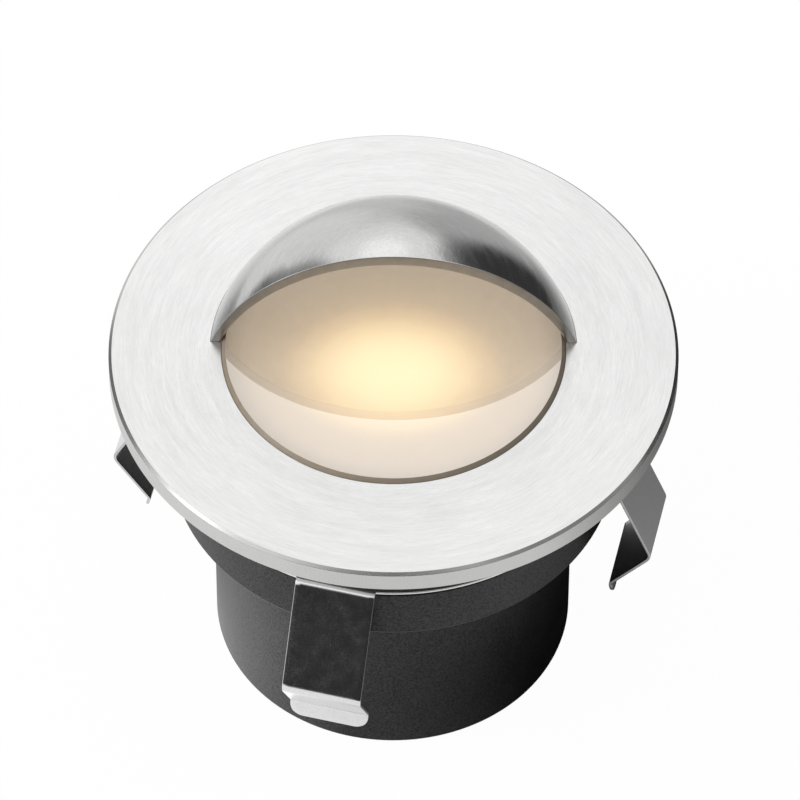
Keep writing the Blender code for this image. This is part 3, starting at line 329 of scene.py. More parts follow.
# Finishes with a grain: colour, roughness, size and depth of the grain, shades
GRAINED = {
    "lens_edge": ((0.25, 0.205, 0.155), 0.35, 0.00008, 0.000002, (0.9, 1.1)),
    "hood_lip": ((0.35, 0.335, 0.31), 0.32, 0.00012, 0.000003, EVEN_SHADES),
    "hood_inside": ((0.75, 0.735, 0.71), 0.6, 0.00015, 0.000003, EVEN_SHADES),
    "strip_edge": ((0.58, 0.58, 0.575), 0.38, 0.0001, 0.000004, EVEN_SHADES),
    "housing_plastic": ((0.012, 0.012, 0.0126), 0.38, 0.0003, 0.00003, (0.5, 1.5)),
    # Painted highlight: a lighter copy of the housing plastic for the head's lower rounded edge
    "housing_painted_highlight": ((0.045, 0.045, 0.046), 0.4, 0.0002, 0.00001, EVEN_SHADES),
    "neck_plastic": ((0.03, 0.03, 0.03), 0.5, 0.0002, 0.00001, EVEN_SHADES),
    "seal_rubber": ((0.03, 0.03, 0.03), 0.7, 0.00015, 0.000008, EVEN_SHADES),
    "gasket_silicone": ((0.10, 0.09, 0.08), 0.6, 0.0002, 0.000006, EVEN_SHADES),
    "opal_plastic": ((0.92, 0.88, 0.78), 0.5, 0.0002, 0.000002, (0.97, 1.02)),
    "reflector_plastic": ((0.90, 0.90, 0.88), 0.3, 0.0004, 0.000003, (0.97, 1.02)),
    "led_board_mask": ((0.86, 0.86, 0.84), 0.4, 0.0003, 0.000003, (0.96, 1.03)),
    "led_phosphor": ((1.0, 0.80, 0.42), 0.45, 0.0001, 0.000004, EVEN_SHADES),
    "driver_board_mask": ((0.03, 0.20, 0.09), 0.35, 0.0006, 0.00001, EVEN_SHADES),
    "capacitor_sleeve": ((0.05, 0.06, 0.14), 0.3, 0.0003, 0.000003, EVEN_SHADES),
    "inductor_ferrite": ((0.08, 0.07, 0.06), 0.55, 0.00015, 0.000008, EVEN_SHADES),
    "chip_epoxy": ((0.03, 0.03, 0.03), 0.5, 0.0001, 0.000005, EVEN_SHADES),
    "terminal_plastic": ((0.05, 0.25, 0.12), 0.4, 0.0003, 0.000003, EVEN_SHADES),
    "lead_red": ((0.55, 0.04, 0.03), 0.4, 0.0002, 0.000002, EVEN_SHADES),
    "lead_black": ((0.03, 0.03, 0.03), 0.4, 0.0002, 0.000002, EVEN_SHADES),
    "gland_nylon": ((0.04, 0.04, 0.04), 0.45, 0.0002, 0.000008, EVEN_SHADES),
}

# Nodes that keep the solid's own shape, by finish
DRESSED = {
    "gasket_silicone": ("lens_gasket",),
    "seal_rubber": ("neck_o_ring", "gland_washer", "gland_seal"),
    "opal_plastic": ("diffuser",),
    "reflector_plastic": ("reflector",),
    "led_board_mask": ("led_board",),
    "driver_board_mask": ("driver_board",),
    "capacitor_sleeve": ("capacitor",),
    "inductor_ferrite": ("inductor",),
    "chip_epoxy": ("driver_chip", "rectifier"),
    "terminal_plastic": ("terminal_block",),
    "lead_red": ("lead_plus",),
    "lead_black": ("lead_minus",),
    "gland_nylon": ("gland_body", "gland_cap", "gland_lock_nut"),
}

# The LEDs' light, and the rounded edges of the gland and the terminal block
LED_LIGHT = (1.0, 0.78, 0.45, 1)
LED_STRENGTH = 2.0
SMALL_PART_EDGE = 0.00025
SMALL_PART_STEPS = 2
SMALL_PART_ANGLE = math.radians(50)

# Glass: its clear top and the coat that mirrors the studio, its ground edge and its ground lower face
CLEAR_COLOUR = (1.0, 0.985, 0.96)
CLEAR_ROUGHNESS = 0.02
CLEAR_SPREAD = 0.01
SMEAR_SCALE = 300
GLASS_IOR = 1.5
COAT_IOR = 2.8
COAT_ROUGHNESS = 0.015
EDGE_COAT = 0.12
EDGE_COAT_ROUGHNESS = 0.3
FROST_COLOUR = (0.50, 0.46, 0.41)
FROST_ROUGHNESS = 0.7
FROST_SCALE = 6000
FROST_SHADES = (0.97, 1.03)
FROST_GLOW_SHADES = (0.985, 1.015)

# Painted glow of the LEDs, the emission of the lens's lower face, as half sizes of its ellipse and
# colours outward from its middle
GLOW_SHIFT = -0.0015
GLOW_HALF_X = 0.0119
GLOW_HALF_Y = 0.0094
GLOW_RAMP_SCALE = 0.4
GLOW_STRENGTH = 1.0
GLOW_STOPS = (
    (0.0, (1.20, 0.94, 0.57)),
    (0.20, (1.18, 0.91, 0.54)),
    (0.36, (0.80, 0.60, 0.36)),
    (0.52, (0.41, 0.33, 0.245)),
    (0.90, (0.375, 0.33, 0.28)),
)

# Painted shade, the glow's fading toward the lens's rim: its shift, and distance and strength where it
# starts and ends
RIM_SHADE_SHIFT = 0.0020
RIM_SHADE = (0.0192, 0.0248, 1.0, 0.5)


def node(tree, kind, inputs=(), **settings):
    """A shader node with its properties set. Inputs hold values or sockets to link."""
    made = tree.nodes.new("ShaderNode" + kind)
    for name, value in settings.items():
        setattr(made, name, value)
    for key, value in dict(inputs).items():
        if isinstance(value, bpy.types.NodeSocket):
            tree.links.new(value, made.inputs[key])
        else:
            made.inputs[key].default_value = value
    return made


def maths(tree, operation, first, second=0.0):
    return node(tree, "Math", {0: first, 1: second}, operation=operation).outputs[0]


def mean(tree, first, second):
    return maths(tree, "MULTIPLY", maths(tree, "ADD", first, second), 0.5)


def blended(tree, share, first, second):
    """The first number where the share is 0, the second one where it is 1."""
    return node(tree, "Mix", {0: share, 2: first, 3: second}).outputs[0]


def vectors(tree, operation, first, second=None):
    inputs = {0: first} if second is None else {0: first, 1: second}
    return node(tree, "VectorMath", inputs, operation=operation)


def scaled(tree, vector, scale):
    return node(tree, "VectorMath", {0: vector, "Scale": scale}, operation="SCALE").outputs[0]


def noise(tree, vector, scale=1.0, detail=2.0, roughness=0.5):
    inputs = {"Vector": vector, "Scale": scale, "Detail": detail, "Roughness": roughness}
    return node(tree, "TexNoise", inputs).outputs[0]


def ranged(tree, value, low, high, new_low, new_high, smooth=False):
    inputs = {"Value": value, "From Min": low, "From Max": high, "To Min": new_low, "To Max": new_high}
    kind = "SMOOTHSTEP" if smooth else "LINEAR"
    return node(tree, "MapRange", inputs, interpolation_type=kind).outputs[0]


def object_place(tree):
    return node(tree, "TexCoord").outputs["Object"]


def flattened(tree, place):
    """The place without its height."""
    return vectors(tree, "MULTIPLY", place, (1, 1, 0)).outputs[0]


def round_axis(tree, around, across, ball=None):
    """Coordinates that change slowly round the Z axis and fast across it, as turned metal does.

    ball is the (height, radius) of the sphere that a dome lies on.
    """
    place = object_place(tree)
    flat = flattened(tree, place)
    radius = vectors(tree, "LENGTH", flat).outputs["Value"]
    height = node(tree, "SeparateXYZ", {0: place}).outputs["Z"]
    if ball:
        centre, size = ball
        tilt = maths(tree, "ARCTAN2", radius, maths(tree, "SUBTRACT", height, centre))
        run = maths(tree, "MULTIPLY", tilt, size)
    else:
        run = maths(tree, "ADD", radius, height)
    spoke = scaled(tree, vectors(tree, "NORMALIZE", flat).outputs[0], around)
    rise = node(tree, "CombineXYZ", {2: maths(tree, "MULTIPLY", run, across)}).outputs[0]
    return vectors(tree, "ADD", spoke, rise).outputs[0]


def stretched(tree, scales):
    """Object coordinates scaled by a different amount along each axis."""
    return vectors(tree, "MULTIPLY", object_place(tree), scales).outputs[0]


def new_material(name, colour, roughness, **sockets):
    """A material with one Principled shader. Returns the material, its tree and the shader."""
    material = bpy.data.materials.new(name)
    material.use_nodes = True
    tree = material.node_tree
    shader = tree.nodes["Principled BSDF"]
    shader.inputs["Base Color"].default_value = (*colour, 1)
    shader.inputs["Roughness"].default_value = roughness
    for key, value in sockets.items():
        shader.inputs[key.replace("_", " ")].default_value = value
    return material, tree, shader


def tint(tree, shader, colour, amount, low, high):
    """Lead the base colour through a brightness that runs from low to high with the amount."""
    level = ranged(tree, amount, *NOISE_RANGE, low, high)
    tree.links.new(scaled(tree, colour, level), shader.inputs["Base Color"])


def varied(tree, amount, middle, spread):
    """A value that goes as far as the spread to both sides of its middle, with the amount."""
    return ranged(tree, amount, *NOISE_RANGE, middle - spread, middle + spread)


def roughen(tree, shader, level):
    tree.links.new(level, shader.inputs["Roughness"])


def raise_surface(tree, shader, layers):
    """Bump the surface by layers of (height, distance), the last one on top."""
    normal = None
    for height, distance in layers:
        inputs = {"Height": height, "Distance": distance}
        if normal:
            inputs["Normal"] = normal
        normal = node(tree, "Bump", inputs).outputs[0]
    tree.links.new(normal, shader.inputs["Normal"])


def turned_metal(name, ball=None):
    """Metal with circular brushing. ball is the (height, radius) of the sphere that a dome lies on."""
    colour, roughness, (fine_depth, long_depth, wide_depth), shades = TURNED[name]
    material, tree, shader = new_material(
        name, colour, roughness,
        Metallic=1.0, Anisotropic=BRUSHED_STRETCH, Anisotropic_Rotation=BRUSHED_TURN,
    )
    tangent = node(tree, "Tangent", direction_type="RADIAL", axis="Z").outputs[0]
    tree.links.new(tangent, shader.inputs["Tangent"])
    fine = noise(tree, round_axis(tree, *FINE_MARKS, ball), detail=1.0)
    long = noise(tree, round_axis(tree, *LONG_MARKS, ball))
    wide = noise(tree, round_axis(tree, *WIDE_WAVES, ball))
    tint(tree, shader, colour, mean(tree, fine, long), *shades)
    roughen(tree, shader, varied(tree, wide, roughness, ROUGHNESS_SPREAD))
    raise_surface(tree, shader, [(wide, wide_depth), (long, long_depth), (fine, fine_depth)])
    return material


def rolled_steel(name):
    """Bright strip with duller specks, rolling marks and the slight waves of bending."""
    colour, roughness, (wave_depth, mark_depth), shades, wear = ROLLED[name]
    material, tree, shader = new_material(name, colour, roughness, Metallic=1.0)
    marks = noise(tree, stretched(tree, ROLLING_MARKS))
    waves = noise(tree, stretched(tree, BENDING_WAVES), detail=1.0)
    specks = noise(tree, object_place(tree), scale=SPECK_SCALE)
    cloud = noise(tree, stretched(tree, STRIP_CLOUDS))
    tint(tree, shader, colour, specks, *shades)
    worn = maths(tree, "MULTIPLY", ranged(tree, specks, *SPECK_RANGE, 0.0, wear, smooth=True), cloud)
    roughen(tree, shader, maths(tree, "ADD", varied(tree, cloud, roughness, STRIP_SPREAD), worn))
    raise_surface(tree, shader, [(waves, wave_depth), (marks, mark_depth)])
    return material


def grained(name, gloss=None, **sockets):
    """Moulded or coated stuff with a fine grain and faint cloudy shades.

    gloss is the lowest and highest share of mirrored light over the grain.
    """
    colour, roughness, grain, depth, shades = GRAINED[name]
    material, tree, shader = new_material(name, colour, roughness, **sockets)
    fine = noise(tree, object_place(tree), scale=1 / grain, detail=FINE_DETAIL, roughness=GRAIN_ROUGHNESS)
    cloud = noise(tree, object_place(tree), scale=CLOUD_SHARE / grain)
    tint(tree, shader, colour, mean(tree, fine, cloud), *shades)
    roughen(tree, shader, varied(tree, fine, roughness, ROUGHNESS_SPREAD))
    if gloss:
        level = ranged(tree, fine, *GLOSS_NOISE_RANGE, *gloss)
        tree.links.new(level, shader.inputs["Specular IOR Level"])
    raise_surface(tree, shader, [(fine, depth)])
    return material


def glass_top():
    """Clear polished glass whose coat carries the studio's strong mirror image."""
    material, tree, shader = new_material(
        "lens_clear", CLEAR_COLOUR, CLEAR_ROUGHNESS, IOR=GLASS_IOR, Transmission_Weight=1.0,
        Coat_Weight=1.0, Coat_Roughness=COAT_ROUGHNESS, Coat_IOR=COAT_IOR,
    )
    smear = noise(tree, object_place(tree), scale=SMEAR_SCALE, detail=FINE_DETAIL)
    roughen(tree, shader, varied(tree, smear, CLEAR_ROUGHNESS, CLEAR_SPREAD))
    return material


def ground_glass():
    """The lens's ground bevel and side, which look taupe and slightly rough."""
    return grained("lens_edge", Coat_Weight=EDGE_COAT, Coat_Roughness=EDGE_COAT_ROUGHNESS)


def painted_glow_glass():
    """The lens's ground lower face, whose emission is a painted glow of the LEDs behind it, with a
    painted shade toward its rim.
    """
    material, tree, shader = new_material("lens_lower", FROST_COLOUR, FROST_ROUGHNESS)
    place = object_place(tree)
    shifted = vectors(tree, "SUBTRACT", place, (0.0, GLOW_SHIFT, 0.0)).outputs[0]
    squeezed = vectors(tree, "MULTIPLY", shifted, (1 / GLOW_HALF_X, 1 / GLOW_HALF_Y, 0)).outputs[0]
    far = vectors(tree, "LENGTH", squeezed).outputs["Value"]
    ramp = node(tree, "ValToRGB", {0: maths(tree, "MULTIPLY", far, GLOW_RAMP_SCALE)})
    ramp.color_ramp.interpolation = "B_SPLINE"
    stops = ramp.color_ramp.elements
    while len(stops) < len(GLOW_STOPS):
        stops.new(0.5)
    for stop, (place_share, colour) in zip(stops, GLOW_STOPS):
        stop.position = place_share
        stop.color = (*colour, 1)
    frost = noise(tree, place, scale=FROST_SCALE)
    # Painted shade, darker toward the rim and most at the front
    flat = flattened(tree, place)
    reach = vectors(tree, "DISTANCE", flat, (0.0, RIM_SHADE_SHIFT, 0.0)).outputs["Value"]
    shade = ranged(tree, reach, *RIM_SHADE, smooth=True)
    level = maths(tree, "MULTIPLY", ranged(tree, frost, *NOISE_RANGE, *FROST_GLOW_SHADES), shade)
    # The painted glow, dimmed by the painted rim shade, is the face's emission
    tree.links.new(scaled(tree, ramp.outputs[0], level), shader.inputs["Emission Color"])
    shader.inputs["Emission Strength"].default_value = GLOW_STRENGTH
    tint(tree, shader, FROST_COLOUR, frost, *FROST_SHADES)
    return material


def make_trim_ring(top, rim):
    """The flat ring with its chamfers, the lens's opening, the hood's seat and the screw holes."""
    rebate = RING_LOW.z + RING_REBATE_DEPTH
    shoulder = RING_HIGH.z - OPENING_LIP_THICKNESS
    neck_fit = NECK_HIGH.x + CLEARANCE
    ring = turned("trim_ring_shell", [
        (OPENING_RADIUS, RING_HIGH.z, RING_EDGE),
        (OPENING_RADIUS, shoulder, 0),
        (LENS_POCKET_RADIUS, shoulder, 0),
        (LENS_POCKET_RADIUS, rebate, 0),
        (neck_fit, rebate, 0),
        (neck_fit, RING_LOW.z, 0),
        (RING_HIGH.x - RING_CHAMFER, RING_LOW.z, RING_EDGE),
        (RING_HIGH.x, RING_LOW.z + RING_CHAMFER, RING_EDGE),
        (RING_HIGH.x, RING_HIGH.z - RING_CHAMFER, RING_EDGE),
        (RING_HIGH.x - RING_CHAMFER, RING_HIGH.z, RING_EDGE),
    ], ROUND_SIDES, [top, rim], lambda face: int(face.normal.z < RING_TOP_SLOPE))
    cut(ring, hood_seat())
    low, high = RING_LOW.z - OVERRUN, RING_LOW.z + SCREW_GRIP
    cut(ring, screw_drills("ring_drills", SCREW_HOLE_RADIUS, low, high))
    return stand_for(even_shading(ring), "trim_ring")


def hood_seat():
    """The shape of the shallow seat that the hood's foot stands in."""
    floor = HOOD_LOW.z - SEAM
    top = RING_HIGH.z + OVERRUN
    inner = OPENING_RADIUS - OVERRUN
    outer = HOOD_HIGH.x + SEAM
    corners = [(inner, floor, 0), (outer, floor, 0), (outer, top, 0), (inner, top, 0)]
    seat = turned("hood_seat", corners, ROUND_SIDES, [])
    reach = 2 * RING_HIGH.x
    middle = Vector((0, HOOD_LOW.y - SEAM - reach / 2, floor))
    bm = bmesh.new()
    shape = Matrix.Translation(middle) @ Matrix.Diagonal((2 * reach, reach, reach, 1))
    bmesh.ops.create_cube(bm, size=1, matrix=shape)
    return cut(seat, add_piece("seat_front", bm, []))


def ball_through(base_radius, height):
    """The ball whose cap has this base radius and height: its radius, and its centre above the base."""
    radius = (base_radius ** 2 + height ** 2) / (2 * height)
    return radius, height - radius


def hood_rows():
    """Rows across the hood, from the rear of its outside over the lip to the rear of its inside.

    Each row is an arc in an upright plane: (distance behind the lens's middle, height of the
    arc's centre, arc's radius).
    """
    mouth = HOOD_LOW.y
    height = HOOD_HIGH.z - RING_HIGH.z
    base = HOOD_HIGH.x
    sides = []
    for base_radius, cap_height, edge in (
        (base, height, HOOD_LIP_EDGE),
        (base - HOOD_FOOT_WIDTH, height - HOOD_CROWN_WALL, HOOD_INNER_EDGE),
    ):
        ball, centre = ball_through(base_radius, cap_height)
        middle = RING_HIGH.z + centre
        foot = math.sqrt(ball ** 2 - (HOOD_LOW.z - middle) ** 2)
        first = math.asin((mouth + edge) / foot)
        rows = []
        for step in range(HOOD_ROWS + 1):
            angle = first + (math.pi / 2 - first) * step / HOOD_ROWS
            behind = foot * math.sin(angle)
            rows.append((behind, middle, math.sqrt(ball ** 2 - behind ** 2)))
        sides.append(rows)
    outside, inside = sides
    rows = outside[::-1]
    edge = HOOD_LIP_EDGE
    _, middle, radius = outside[0]
    for step in range(1, FILLET_STEPS + 1):
        angle = math.pi / 2 * step / FILLET_STEPS
        behind = mouth + edge - edge * math.sin(angle)
        rows.append((behind, middle, radius - edge + edge * math.cos(angle)))
    edge = HOOD_INNER_EDGE
    _, middle, radius = inside[0]
    for step in range(FILLET_STEPS):
        angle = math.pi / 2 * step / FILLET_STEPS
        behind = mouth + edge - edge * math.cos(angle)
        rows.append((behind, middle, radius + edge - edge * math.sin(angle)))
    return rows + inside


def make_hood(steel, lip, inside):
    """Half a dome of sheet, thicker at its crown, whose flat lip stands over the lens."""
    rows = hood_rows()
    count = len(rows)
    bm = bmesh.new()
    grid = []
    for index, (behind, middle, radius) in enumerate(rows):
        if index in (0, count - 1):
            grid.append([bm.verts.new((0, behind, HOOD_LOW.z))] * (HOOD_COLUMNS + 1))
            continue
        half = math.acos((HOOD_LOW.z - middle) / radius)
        row = []
        for column in range(HOOD_COLUMNS + 1):
            angle = half * (2 * column / HOOD_COLUMNS - 1)
            side, height = radius * math.sin(angle), middle + radius * math.cos(angle)
            row.append(bm.verts.new((side, behind, height)))
        grid.append(row)
    for first, second in zip(grid, grid[1:]):
        for column in range(HOOD_COLUMNS):
            add_face(bm, (first[column], first[column + 1], second[column + 1], second[column]))

    # The flat foot joins the ends of the outer rows to those of the inner rows
    for side in (0, HOOD_COLUMNS):
        ends = [row[side] for row in grid]
        while len(ends) > 2:
            add_face(bm, (ends[0], ends[1], ends[-2], ends[-1]))
            ends = ends[1:-1]
    lip_back = HOOD_LOW.y + HOOD_INNER_EDGE
    inner_height = HOOD_HIGH.z - RING_HIGH.z - HOOD_CROWN_WALL
    ball, centre = ball_through(HOOD_HIGH.x - HOOD_FOOT_WIDTH, inner_height)
    middle = Vector((0, 0, RING_HIGH.z + centre))

    def choose(face):
        place = face.calc_center_median()
        if face.normal.y < -HOOD_LIP_SLOPE and place.y < lip_back:
            return 1
        return 2 if (place - middle).length < ball + HOOD_LIP_EDGE else 0

    hood = add_piece("eyelid_hood_shell", bm, [steel, lip, inside], choose)
    return stand_for(even_shading(hood), "eyelid_hood")


def make_lens(clear, edge, lower):
    """The stepped glass disc, bevelled at its top edge."""
    top = LENS_HIGH.z
    flange_top = LENS_LOW.z + LENS_FLANGE_THICKNESS
    outline = [
        (0, LENS_LOW.z, 0),
        (LENS_HIGH.x, LENS_LOW.z, 0),
        (LENS_HIGH.x, flange_top, 0),
        (LENS_RADIUS, flange_top, 0),
        (LENS_RADIUS, top - LENS_BEVEL, LENS_EDGE),
        (LENS_RADIUS - LENS_BEVEL, top, LENS_EDGE),
        (0, top, 0),
    ]
    seam = LENS_RADIUS - LENS_BEVEL

    def choose(face):
        middle = face.calc_center_median()
        if middle.z < LENS_LOW.z + TOLERANCE:
            return 2
        flat = face.normal.z > LENS_FLAT_SLOPE and middle.z > flange_top + TOLERANCE
        return 0 if flat and middle.xy.length < seam + LENS_EDGE else 1

    lens = turned("lens_glass_shell", outline, ROUND_SIDES, [clear, edge, lower], choose)
    return stand_for(even_shading(lens), "lens_glass")


def make_neck(material):
    """The ring that holds the lens up and plugs into the housing, with its seal's groove."""
    bottom = NECK_LOW.z + SPIGOT_LENGTH
    middle = NECK_LOW.z + SPIGOT_LENGTH / 2
    spigot = HEAD_BORE_RADIUS - CLEARANCE
    bore = INSERT_RADIUS + CLEARANCE
    groove = spigot - SEAL_GROOVE_DEPTH
    ledge = LENS_LOW.z - CLEARANCE
    neck = turned("neck_ring_shell", [
        (bore, ledge, HOUSING_EDGE),
        (bore, NECK_LOW.z, HOUSING_EDGE),
        (spigot, NECK_LOW.z, HOUSING_EDGE),
        (spigot, middle - SEAL_GROOVE_HALF, 0),
        (groove, middle - SEAL_GROOVE_HALF, 0),
        (groove, middle + SEAL_GROOVE_HALF, 0),
        (spigot, middle + SEAL_GROOVE_HALF, 0),
        (spigot, bottom, 0),
        (NECK_HIGH.x, bottom, HOUSING_EDGE),
        (NECK_HIGH.x, NECK_HIGH.z, HOUSING_EDGE),
        (LENS_POCKET_RADIUS, NECK_HIGH.z, HOUSING_EDGE),
        (LENS_POCKET_RADIUS, ledge, 0),
    ], BODY_SIDES, [material])
    cut(neck, screw_drills("neck_drills", SCREW_HOLE_RADIUS, bottom - OVERRUN, NECK_HIGH.z + OVERRUN))
    return stand_for(even_shading(neck), "neck_ring")


def make_plate(material):
    """The thin washer whose notches the clips start in."""
    plate = turned("clip_plate_shell", [
        (PLATE_BORE_RADIUS, PLATE_LOW.z, 0),
        (PLATE_HIGH.x, PLATE_LOW.z, PLATE_EDGE),
        (PLATE_HIGH.x, PLATE_HIGH.z, PLATE_EDGE),
        (PLATE_BORE_RADIUS, PLATE_HIGH.z, 0),
    ], ROUND_SIDES, [material])
    low, high = PLATE_LOW.z - OVERRUN, PLATE_HIGH.z + OVERRUN
    cut(plate, screw_drills("plate_drills", SCREW_HOLE_RADIUS, low, high))
    cut(plate, clip_notches())
    return stand_for(even_shading(plate), "clip_plate")


def clip_notches():
    """Blocks that cut the plate's edge where the four clips start."""
    bm = bmesh.new()
    depth = CLIP_TONGUE + SEAM + OVERRUN
    width = 2 * (CLIP_HALF_WIDTH + SEAM)
    middle = PLATE_HIGH.x + OVERRUN - depth / 2
    for _, turn, _ in CLIP_PLACES:
        place = Matrix.Translation((middle * math.cos(turn), middle * math.sin(turn), PLATE_LOW.z))
        shape = Matrix.Rotation(turn, 4, "Z") @ Matrix.Diagonal((depth, width, 2 * OVERRUN, 1))
        bmesh.ops.create_cube(bm, size=1, matrix=place @ shape)
    return add_piece("clip_notches", bm, [])


def bent_path(corners, radii):
    """A path of straight runs joined by arcs, one at each inner corner."""
    path = [corners[0]]
    for before, corner, after, radius in zip(corners, corners[1:], corners[2:], radii):
        came = math.atan2(corner[1] - before[1], corner[0] - before[0])
        goes = math.atan2(after[1] - corner[1], after[0] - corner[0])
        bend = math.remainder(goes - came, math.tau)
        side = math.copysign(1, bend)
        back = radius * math.tan(abs(bend) / 2)
        start = (corner[0] - back * math.cos(came), corner[1] - back * math.sin(came))
        centre = (start[0] - side * radius * math.sin(came), start[1] + side * radius * math.cos(came))
        for step in range(BEND_STEPS + 1):
            angle = came + bend * step / BEND_STEPS
            x = centre[0] + side * radius * math.sin(angle)
            z = centre[1] - side * radius * math.cos(angle)
            path.append((x, z))
    path.append(corners[-1])
    return path


def clip_corners(lean):
    """The strip's middle line, outward and up from its hinge, with its leg leaned outward."""
    leg = CLIP_LEG_ANGLE + lean
    back = CLIP_RETURN_ANGLE - lean
    tab = CLIP_TAB_ANGLE + lean
    elbow = (CLIP_LEG * math.sin(leg), -CLIP_LEG * math.cos(leg))
    heel = (elbow[0] - CLIP_RETURN * math.sin(back), elbow[1] - CLIP_RETURN * math.cos(back))
    tip = (heel[0] + CLIP_TAB * math.sin(tab), heel[1] - CLIP_TAB * math.cos(tab))
    return [(-CLIP_TONGUE, 0.0), (0.0, 0.0), elbow, heel, tip]


def strip_stations(lean):
    """Centre, half width and half thickness at each station along the strip."""
    path = bent_path(clip_corners(lean), (CLIP_ROOT_BEND, CLIP_ELBOW_BEND, CLIP_TAB_BEND))
    half = CLIP_THICKNESS / 2
    stations = [(point, CLIP_HALF_WIDTH, half) for point in path[:-1]]
    last, end = path[-2], path[-1]
    run = math.dist(last, end)
    ahead = ((end[0] - last[0]) / run, (end[1] - last[1]) / run)
    for step in range(CORNER_STEPS + 1):
        angle = math.pi / 2 * step / CORNER_STEPS
        along = run - CLIP_TAB_CORNER + CLIP_TAB_CORNER * math.sin(angle)
        thin = CLIP_EDGE * step / CORNER_STEPS if step > CORNER_STEPS / 2 else 0.0
        point = (last[0] + ahead[0] * along, last[1] + ahead[1] * along)
        width = CLIP_HALF_WIDTH - CLIP_TAB_CORNER + CLIP_TAB_CORNER * math.cos(angle)
        stations.append((point, width, half - thin))
    return stations


def section(width, half):
    """The strip's cross-section as (side, thickness) points, with its edges taken off."""
    edge = CLIP_EDGE
    inner = width - edge
    across = [inner * (2 * column / STRIP_COLUMNS - 1) for column in range(STRIP_COLUMNS + 1)]
    upper = [(y, half) for y in across]
    lower = [(y, -half) for y in reversed(across)]
    slant = edge * (1 - math.sqrt(0.5))
    right = [(width - slant, half - slant), (width, half - edge), (width, edge - half),
             (width - slant, slant - half)]
    left = [(-y, -z) for y, z in right]
    return upper + right + lower + left


def make_clip(name, turn, lean, materials):
    """A spring clip, bent from a strip that starts in its notch of the plate, with duller cut edges."""
    stations = strip_stations(lean)
    bm = bmesh.new()
    rings = []
    for index, ((x, z), width, half) in enumerate(stations):
        before = stations[max(index - 1, 0)][0]
        after = stations[min(index + 1, len(stations) - 1)][0]
        heading = math.atan2(after[1] - before[1], after[0] - before[0])
        ring = []
        for side, rise in section(width, half):
            outward, height = x - math.sin(heading) * rise, z + math.cos(heading) * rise
            ring.append(bm.verts.new((outward, side, height)))
        rings.append(ring)
    size = len(rings[0])
    for first, second in zip(rings, rings[1:]):
        for index in range(size):
            following = (index + 1) % size
            bm.faces.new((first[index], first[following], second[following], second[index]))
    bm.faces.new(rings[0])
    bm.faces.new(rings[-1])

    def on_cut_edge(face):
        return int(abs(face.normal.y) > STRIP_EDGE_SLOPE)

    clip = add_piece(f"spring_clip_{name}_strip", bm, materials, on_cut_edge)
    root = (PLATE_LOW.z + PLATE_HIGH.z) / 2
    clip.location = (PLATE_HIGH.x * math.cos(turn), PLATE_HIGH.x * math.sin(turn), root)
    clip.rotation_euler = (0, 0, turn)
    even_shading(clip)
    return stand_for(clip, f"spring_clip_{name}", f"clip_{name}")


def make_housing(materials):
    """The wide head over the narrower can, with the gland's pocket in its bottom."""
    bottom = HOUSING_LOW.z
    head_bottom = HOUSING_HIGH.z - HEAD_HEIGHT
    ledge = head_bottom + HEAD_FLOOR_THICKNESS
    bore = CAN_RADIUS - CAN_WALL
    pocket_outside = POCKET_RADIUS + POCKET_WALL
    pocket_top = POCKET_DEPTH + POCKET_ROOF
    rebate = HOUSING_HIGH.z - HEAD_REBATE_HEIGHT

    # Faces of the head's lower rounded edge take the painted highlight
    def on_painted_highlight_edge(face):
        place = face.calc_center_median()
        low = head_bottom < place.z < head_bottom + HEAD_EDGE
        return int(low and place.xy.length > HOUSING_HIGH.x - HEAD_EDGE)

    housing = turned("housing_shell", [
        (CAN_RADIUS, bottom, CAN_EDGE),
        (CAN_RADIUS, head_bottom, HOUSING_EDGE),
        (HOUSING_HIGH.x, head_bottom, HEAD_EDGE),
        (HOUSING_HIGH.x, rebate, HOUSING_EDGE),
        (HOUSING_HIGH.x - HEAD_REBATE_WIDTH, rebate, 0),
        (HOUSING_HIGH.x - HEAD_REBATE_WIDTH, HOUSING_HIGH.z, HOUSING_EDGE),
        (HEAD_BORE_RADIUS, HOUSING_HIGH.z, HOUSING_EDGE),
        (HEAD_BORE_RADIUS, ledge, 0),
        (bore, ledge, HOUSING_EDGE),
        (bore, bottom + CAN_FLOOR, 0),
        (pocket_outside, bottom + CAN_FLOOR, 0),
        (pocket_outside, pocket_top, HOUSING_EDGE),
        (GLAND_FIT_RADIUS, pocket_top, HOUSING_EDGE),
        (GLAND_FIT_RADIUS, POCKET_DEPTH, HOUSING_EDGE),
        (POCKET_RADIUS, POCKET_DEPTH, HOUSING_EDGE),
        (POCKET_RADIUS, bottom, CAN_EDGE),
    ], BODY_SIDES, materials, on_painted_highlight_edge)
    low = head_bottom - OVERRUN
    head_depth = HEAD_FLOOR_THICKNESS - SCREW_GRIP / 2
    cut(housing, screw_drills("head_drills", SCREW_HOLE_RADIUS, low, HOUSING_HIGH.z + OVERRUN))
    cut(housing, screw_drills("head_sinks", SCREW_SINK_RADIUS, low, head_bottom + head_depth))
    return stand_for(even_shading(housing), "housing")


# The white tent that metal and glass mirror
TENT_HORIZON = 0.68
TENT_TOP = 1.0
TENT_RISE = 0.45
TENT_SOFT_SHARE = 0.5

